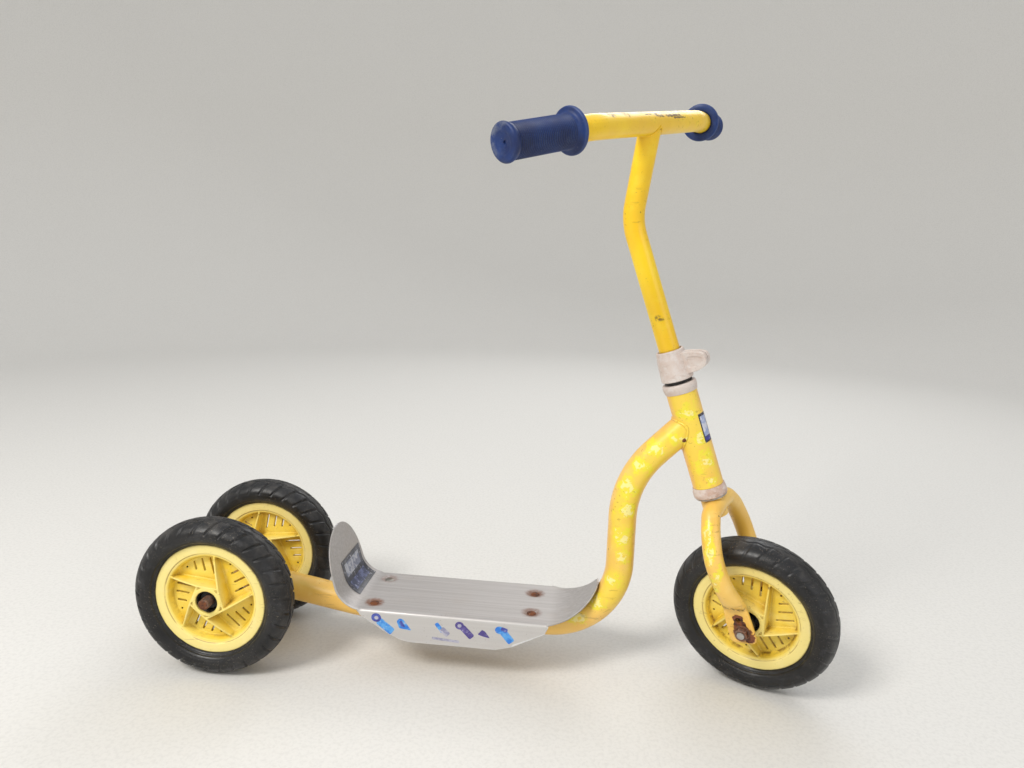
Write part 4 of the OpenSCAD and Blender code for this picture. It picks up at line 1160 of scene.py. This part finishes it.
# ---------------------------------------------------------------- head bearings, collar
cup_hi = lathe([(12.85, 263.2), (16.95, 263.1), (17.5, 263.9), (17.75, 266.4), (18.15, 267.0), (18.25, 271.6), (17.9, 272.9), (17.1, 273.45), (12.85, 273.45)], 120, closed=True)
add("upper_cup_ring", *cup_hi, M_PALE, "frame", at=M_HEAD, slot="pale_plastic", swaps=["upper_bearing_cup"], sharp=35)
cup_lo = lathe([(12.85, 144.1), (17.2, 144.1), (18.0, 144.8), (18.3, 146.2), (18.2, 150.6), (17.75, 151.4), (17.5, 154.6), (16.95, 155.8), (12.85, 155.9)], 120, closed=True)
add("lower_cup_ring", *cup_lo, M_CUP, "frame", at=M_HEAD, slot="pale_plastic", swaps=["lower_bearing_cup"], sharp=35)

CL = 277
body = lathe([(11.45, CL + 31), (12.5, CL + 32.6), (13.9, CL + 32.8), (14.8, CL + 31.6), (15.6, CL + 25.5), (16.3, CL + 20), (16.9, CL + 8), (17.25, CL + 0.9), (16.6, CL + 0.1), (13.2, CL + 0.1), (12.9, CL + 2), (12.9, CL + 30)], 96, closed=True)
wing_out = round_poly([(8, CL + 4.5), (24, CL + 5.6), (32, CL + 7.4), (37.2, CL + 11), (39.1, CL + 17), (37.6, CL + 22.6), (32.5, CL + 25.2), (22, CL + 27.2), (8, CL + 29)], 3.5, 6)
wing_in = round_poly([(18.5, CL + 10), (30, CL + 11), (34.4, CL + 14.4), (34.4, CL + 19), (31, CL + 21), (18.5, CL + 22.6)], 3.0, 6)
UP_Y = R("X", 90)
wing = moved(prism(wing_out, -6.9, 6.9), UP_Y)
dish = merge(moved(prism(wing_in, 6.1, 12), UP_Y), moved(prism(wing_in, -12, -6.1), UP_Y))
wing = cut(wing, dish)
stem_room = lathe([(0, CL - 5), (12.7, CL - 5), (12.7, CL + 40), (0, CL + 40)], 96)
wing = cut(wing, stem_room)
slit = box(11.4, -0.7, CL - 2, 44, 0.7, CL + 40)
wing = cut(wing, slit)
me = voxel("collar_skin", [body, wing], 0.42, 4, 0.5)
me.transform(Matrix.Scale(1000, 4))
me.transform(M_FORK)
me.transform(Matrix.Scale(MM, 4))
wrap("clamp_collar_skin", me, M_PALE, "steering", ["clamp_collar"], 0)
bolt = lathe([(0, -5.6), (2.9, -5.6), (3.2, -5.2), (3.2, -4.2), (2.4, -4.2), (2.4, 4.2), (3.2, 4.2), (3.2, 5.2), (2.9, 5.6), (1.4, 5.6), (1.4, 4.8), (0, 4.8)], 48)
add("clamp_bolt_pin", *bolt, M_ZINC, "steering", at=M_FORK @ T(28.5, 0, CL + 16) @ ALONG_Y, slot="zinc_steel", swaps=["clamp_bolt"], sharp=30)


# ---------------------------------------------------------------- worn film on the head tube
def head_film(name, v0, v1, a0, a1, lift, mat):
    P = np.array([[((16.5 + lift) * math.cos(math.radians(a)), (16.5 + lift) * math.sin(math.radians(a)), v) for a in np.linspace(a0, a1, 22)] for v in np.linspace(v0, v1, 16)])
    n = P * [1, 1, 0]
    n /= np.linalg.norm(n, axis=2)[:, :, None]
    Q = P - n * 0.14
    nu, nv = P.shape[:2]
    o = nu * nv
    f = grid_faces(nu, nv) + [q[::-1] for q in grid_faces(nu, nv, off=o)]
    for i in range(nu - 1):
        for j in (0, nv - 1):
            f.append((i * nv + j, (i + 1) * nv + j, (i + 1) * nv + j + o, i * nv + j + o))
    for j in range(nv - 1):
        for i in (0, nu - 1):
            f.append((i * nv + j, i * nv + j + 1, i * nv + j + 1 + o, i * nv + j + o))
    return add(name, np.vstack([P.reshape(-1, 3), Q.reshape(-1, 3)]), f, mat, "frame", at=M_HEAD, slot="blue_grip", sharp=40)


head_film("film_head", 205, 237, -58, -14, 0.14, F_DARK)
head_film("film_head_a", 212, 234, -53, -20, 0.24, F_WHITE)
head_film("film_head_b", 207, 211, -53, -20, 0.24, F_DEEP)


# ---------------------------------------------------------------- grips
SW, CW = math.sin(math.radians(14)), math.cos(math.radians(14))
BAR = [Vector((48.3 - 101 * SW, -115 - 101 * CW, 532.5)), Vector((48.3, -115, 532.5)), Vector((48.3, 115, 532.5)), Vector((48.3 - 101 * SW, 115 + 101 * CW, 532.5))]


def grip_profile():
    p = [(0, 3.6), (1.45, 3.4), (1.6, 2.3), (2.2, 2.0), (5.4, 1.85), (7.6, 1.35), (9.0, 0.7), (10.2, 0.25), (12.2, 0.05), (14.2, 0.15), (15.3, 0.7), (15.9, 1.6), (16.0, 2.8), (15.7, 4.0), (15.0, 5.4), (14.62, 6.4)]
    n = int((69 - 7) / 0.25)
    for i in range(n + 1):
        z = 7 + 62 * i / n
        p.append((14.16 + 0.38 * math.sin(2 * math.pi * (z - 7) / 2.0), z))
    p += [(14.5, 69.6), (14.8, 70.8), (15.6, 71.9), (17.0, 72.6), (18.9, 72.95), (19.7, 73.4), (20.0, 74.3), (20.0, 75.5), (19.7, 76.4), (18.9, 76.9), (13.4, 76.9), (12.3, 76.5), (11.6, 75.9), (11.25, 75), (11.25, 8), (0, 8)]
    return p


M_GRIP = {"right": grip_rubber("grip_right", 0.4), "left": grip_rubber("grip_left", 1.9)}
for side, a, b in (("right", BAR[0], BAR[1]), ("left", BAR[3], BAR[2])):
    d = (b - a).normalized()
    x = Vector((0, 0, 1)).cross(d).normalized()
    y = d.cross(x)
    m = Matrix(((x.x, y.x, d.x, a.x), (x.y, y.y, d.y, a.y), (x.z, y.z, d.z, a.z), (0, 0, 0, 1)))
    v, f = lathe(grip_profile(), 144)
    add("grip_%s_sleeve" % side, v, f, M_GRIP[side], "handlebar", slot="blue_grip", swaps=["grip_" + side], sharp=50, place=M_BAR @ m)


# ---------------------------------------------------------------- kept solids
def keep(node, mat):
    o = bpy.data.objects.get(node) or NODES[node]
    o = o if hasattr(o, "data") else bpy.data.objects[o]
    if not o.data.materials:
        o.data.materials.append(mat)
    for s in o.material_slots:
        s.link = "OBJECT"
        s.material = mat
    return o


for node, mat in {"head_tube": P_FRAME, "main_tube": P_FRAME, "rear_axle_tube": P_AXLE, "front_deck_bracket": P_AXLE, "rear_deck_bracket": P_AXLE,
                  "deck_nuts": M_ZINC, "rear_axle": M_RUST, "rear_push_nuts": M_BORE, "rear_washers": M_RUST_DARK, "steerer_tube": P_FORK,
                  "fork_race": M_ZINC, "seal_ring": M_BLACK, "front_axle": M_ZINC, "front_spacers": M_BLACK,
                  "handlebar_stem": P_BAR, "handlebar_crossbar": P_BAR}.items():
    keep(node, mat)


# ---------------------------------------------------------------- welds
def meet(p0, d, r, axis_p, axis_d, rad, near=-1, n=72):
    """Where a tube of radius r from p0 along d meets the tube round an axis."""
    p0, d, axis_p, axis_d = (np.asarray(q, float) for q in (p0, d, axis_p, axis_d))
    d, axis_d = unit(d), unit(axis_d)
    e1 = unit(np.cross(d, (0, 1, 0)) if abs(d[1]) < 0.9 else np.cross(d, (1, 0, 0)))
    e2 = np.cross(d, e1)
    out = []
    for i in range(n):
        a = 2 * math.pi * i / n
        p = p0 + r * (math.cos(a) * e1 + math.sin(a) * e2)
        w = (p - axis_p) - ((p - axis_p) @ axis_d) * axis_d
        dw = d - (d @ axis_d) * axis_d
        A, B, C = dw @ dw, 2 * w @ dw, w @ w - rad * rad
        D = B * B - 4 * A * C
        if D < 0:
            out.append(None)
            continue
        out.append(p + d * (-B + near * math.sqrt(D)) / (2 * A))
    return out


def ring_weld(name, pts, mat, body, rad, seed):
    """A lumpy bead round a closed line of points."""
    pts = np.array([p for p in pts if p is not None])
    c = pts.mean(0)
    rnd = random.Random(seed)
    n = len(pts)
    verts, seg = [], 9
    lump = [rad * (1 + 0.20 * math.sin(i * 1.9 + seed) + 0.10 * rnd.uniform(-1, 1)) for i in range(n)]
    for i in range(n):
        t = unit(pts[(i + 1) % n] - pts[i - 1])
        x = pts[i] - c
        x = unit(x - t * (x @ t))
        y = np.cross(t, x)
        for k in range(seg):
            a = 2 * math.pi * k / seg
            verts.append(tuple(pts[i] + lump[i] * (math.cos(a) * x + math.sin(a) * y)))
    return add(name, verts, grid_faces(n, seg, wrap_u=True, wrap_v=True), mat, body, slot="yellow_paint", sharp=0)


HEAD_P, HEAD_D = np.array(FOOT), np.array(M_HEAD.to_3x3() @ Vector((0, 0, 1)))
JOIN = HEAD_P + HEAD_D * 228
main_dir = unit(JOIN - np.array((149.0, 0, 234.0)))
ring_weld("weld_head", meet(JOIN, main_dir, 15.6, HEAD_P, HEAD_D, 16.6), P_FRAME, "frame", 1.5, 1)
bar_p = np.array(M_BAR @ Vector((48.3, 0, 532.5)))
bar_d = np.array(M_BAR.to_3x3() @ Vector((0, 1, 0)))
stem_d = np.array(M_BAR @ Vector((48.3, 0, 532.5))) - np.array(M_BAR @ Vector((0, 0, 450.5)))
ring_weld("weld_stem", meet(bar_p, stem_d, 11.3, bar_p, bar_d, 11.3), P_BAR, "handlebar", 1.1, 2)
ST_P, ST_D = np.array(M_FORK @ Vector((0, 0, 0))), HEAD_D
for k, side in ((-1, "right"), (1, "left")):
    a = np.array(M_FORK @ Vector((5, k * 3, 132.5)))
    b = np.array(M_FORK @ Vector((5, k * 25, 131.2)))
    pts = [p for p in meet(a, b - a, 10.1, ST_P, ST_D, 12.8, near=1) if p is not None]
    pts = [p for p in pts if (p - ST_P) @ ST_D < 143.4]
    if len(pts) > 8:
        # keep the points in one run, from one gap to the other
        q = np.array(pts)
        gap = int(np.argmax(np.linalg.norm(q - np.roll(q, 1, axis=0), axis=1)))
        q = np.roll(q, -gap, axis=0)
        rnd = random.Random(9)
        v, f = sweep(q, lambda s, a: (1.3 * (1 + 0.18 * math.sin(s * 1.7)) * math.cos(a), 1.3 * math.sin(a)), seg=9, up=(0, 0, 1))
        add("weld_leg_" + side, v, f, P_FORK, "steering", slot="yellow_paint", sharp=0)
# rear end of the main tube, closed round the axle tube
cap = lathe([(0, -1.0), (14.6, -1.0), (15.6, -0.2), (15.6, 0.6), (14.2, 1.3), (9, 1.9), (0, 2.1)], 64)
add("main_tube_end", *cap, P_AXLE, "frame", at=M_REAR @ T(0.6, 0, -6) @ R("Y", -90), slot="yellow_paint", sharp=40)
for k in (-1, 1):
    line = [(-2 + 15.8 * math.cos(math.radians(t)) * 0.0 + x, k * (15.7 * math.cos(math.radians(t))), -6 + 15.7 * math.sin(math.radians(t))) for t, x in ((20, 14.2), (0, 15.8), (-20, 14.4), (-38, 11.5), (-52, 8.0), (-64, 4.5), (-74, 2.0))]
    v, f = sweep(rounded_path(line, [0, 6, 6, 6, 6, 6, 0], 1.0), lambda s, a: (1.3 * (1 + 0.2 * math.sin(s * 1.8)) * math.cos(a), 1.3 * math.sin(a)), seg=9, up=(0, 0, 1))
    add("weld_axle_%s" % ("left" if k > 0 else "right"), v, f, P_AXLE, "frame", at=M_REAR, slot="yellow_paint", sharp=0)


# ---------------------------------------------------------------- floor, light, camera
def floor_mat():
    m = Mat("floor_pale", spec=0.3)
    c = m.mix(m.ramp(m.noise(240, 3, 0.6), 0.40, 0.70), lin(221, 219, 215), lin(214, 212, 208))
    m.set("Base Color", c)
    m.set("Roughness", m.ramp(m.noise(30, 3, 0.6), 0.3, 0.7, 0.72, 0.84))
    m.bump((m.noise(260, 3, 0.6), 0.15, 0.3))
    return m.m


prof = [(0, 0), (600, 0), (1500, 0), (2600, 0)] + [(2600 + 1200 * math.sin(math.radians(t)), 1200 * (1 - math.cos(math.radians(t)))) for t in range(6, 91, 6)] + [(3800, 2600), (3800, 4200)]
v, f = lathe(prof, 96)
me = bpy.data.meshes.new("floor")
me.from_pydata((np.asarray(v) * MM - [0, 0, 0.0004]).tolist(), [], f)
for p in me.polygons:
    p.use_smooth = True
me.materials.append(floor_mat())
floor = bpy.data.objects.new("floor", me)
bpy.context.scene.collection.objects.link(floor)

world = bpy.data.worlds.new("studio")
world.use_nodes = True
world.node_tree.nodes["Background"].inputs[0].default_value = (0.93, 0.96, 1.0, 1)
world.node_tree.nodes["Background"].inputs[1].default_value = 0.80
bpy.context.scene.world = world


def area(name, at, to, size, power, colour=(1, 1, 1)):
    d = bpy.data.lights.new(name, "AREA")
    d.shape = "RECTANGLE"
    d.size, d.size_y = size
    d.energy = power
    d.color = colour
    o = bpy.data.objects.new(name, d)
    bpy.context.scene.collection.objects.link(o)
    o.location = at
    o.rotation_euler = (Vector(to) - Vector(at)).to_track_quat("-Z", "Y").to_euler()
    return o


area("key", (-1.15, -1.55, 2.05), (0.05, 0, 0.22), (0.75, 0.75), 50, (1.0, 0.975, 0.93))
area("fill", (1.9, -1.3, 1.1), (0.1, 0, 0.25), (1.6, 1.2), 9, (0.95, 0.97, 1.0))
area("back", (0.5, 2.0, 1.8), (0.0, 0, 0.2), (1.6, 0.9), 15, (1, 1, 1))

cam = bpy.data.cameras.new("camera")
cam.lens, cam.sensor_width, cam.sensor_fit = 25.176, 36.0, "HORIZONTAL"
cam.clip_start, cam.clip_end = 0.02, 30
co = bpy.data.objects.new("camera", cam)
bpy.context.scene.collection.objects.link(co)
rot = R("Z", 6.550) @ R("X", -10.762) @ R("Y", -1.657)
cols = [rot.to_3x3() @ Vector(q) for q in ((1, 0, 0), (0, 0, 1), (0, -1, 0))]
mw = Matrix([[cols[0][i], cols[1][i], cols[2][i], (0.10884, -0.76738, 0.48046)[i]] for i in range(3)] + [[0, 0, 0, 1]])
co.matrix_world = mw
bpy.context.scene.camera = co
bpy.context.scene.view_settings.view_transform = "Standard"

bpy.context.view_layer.update()
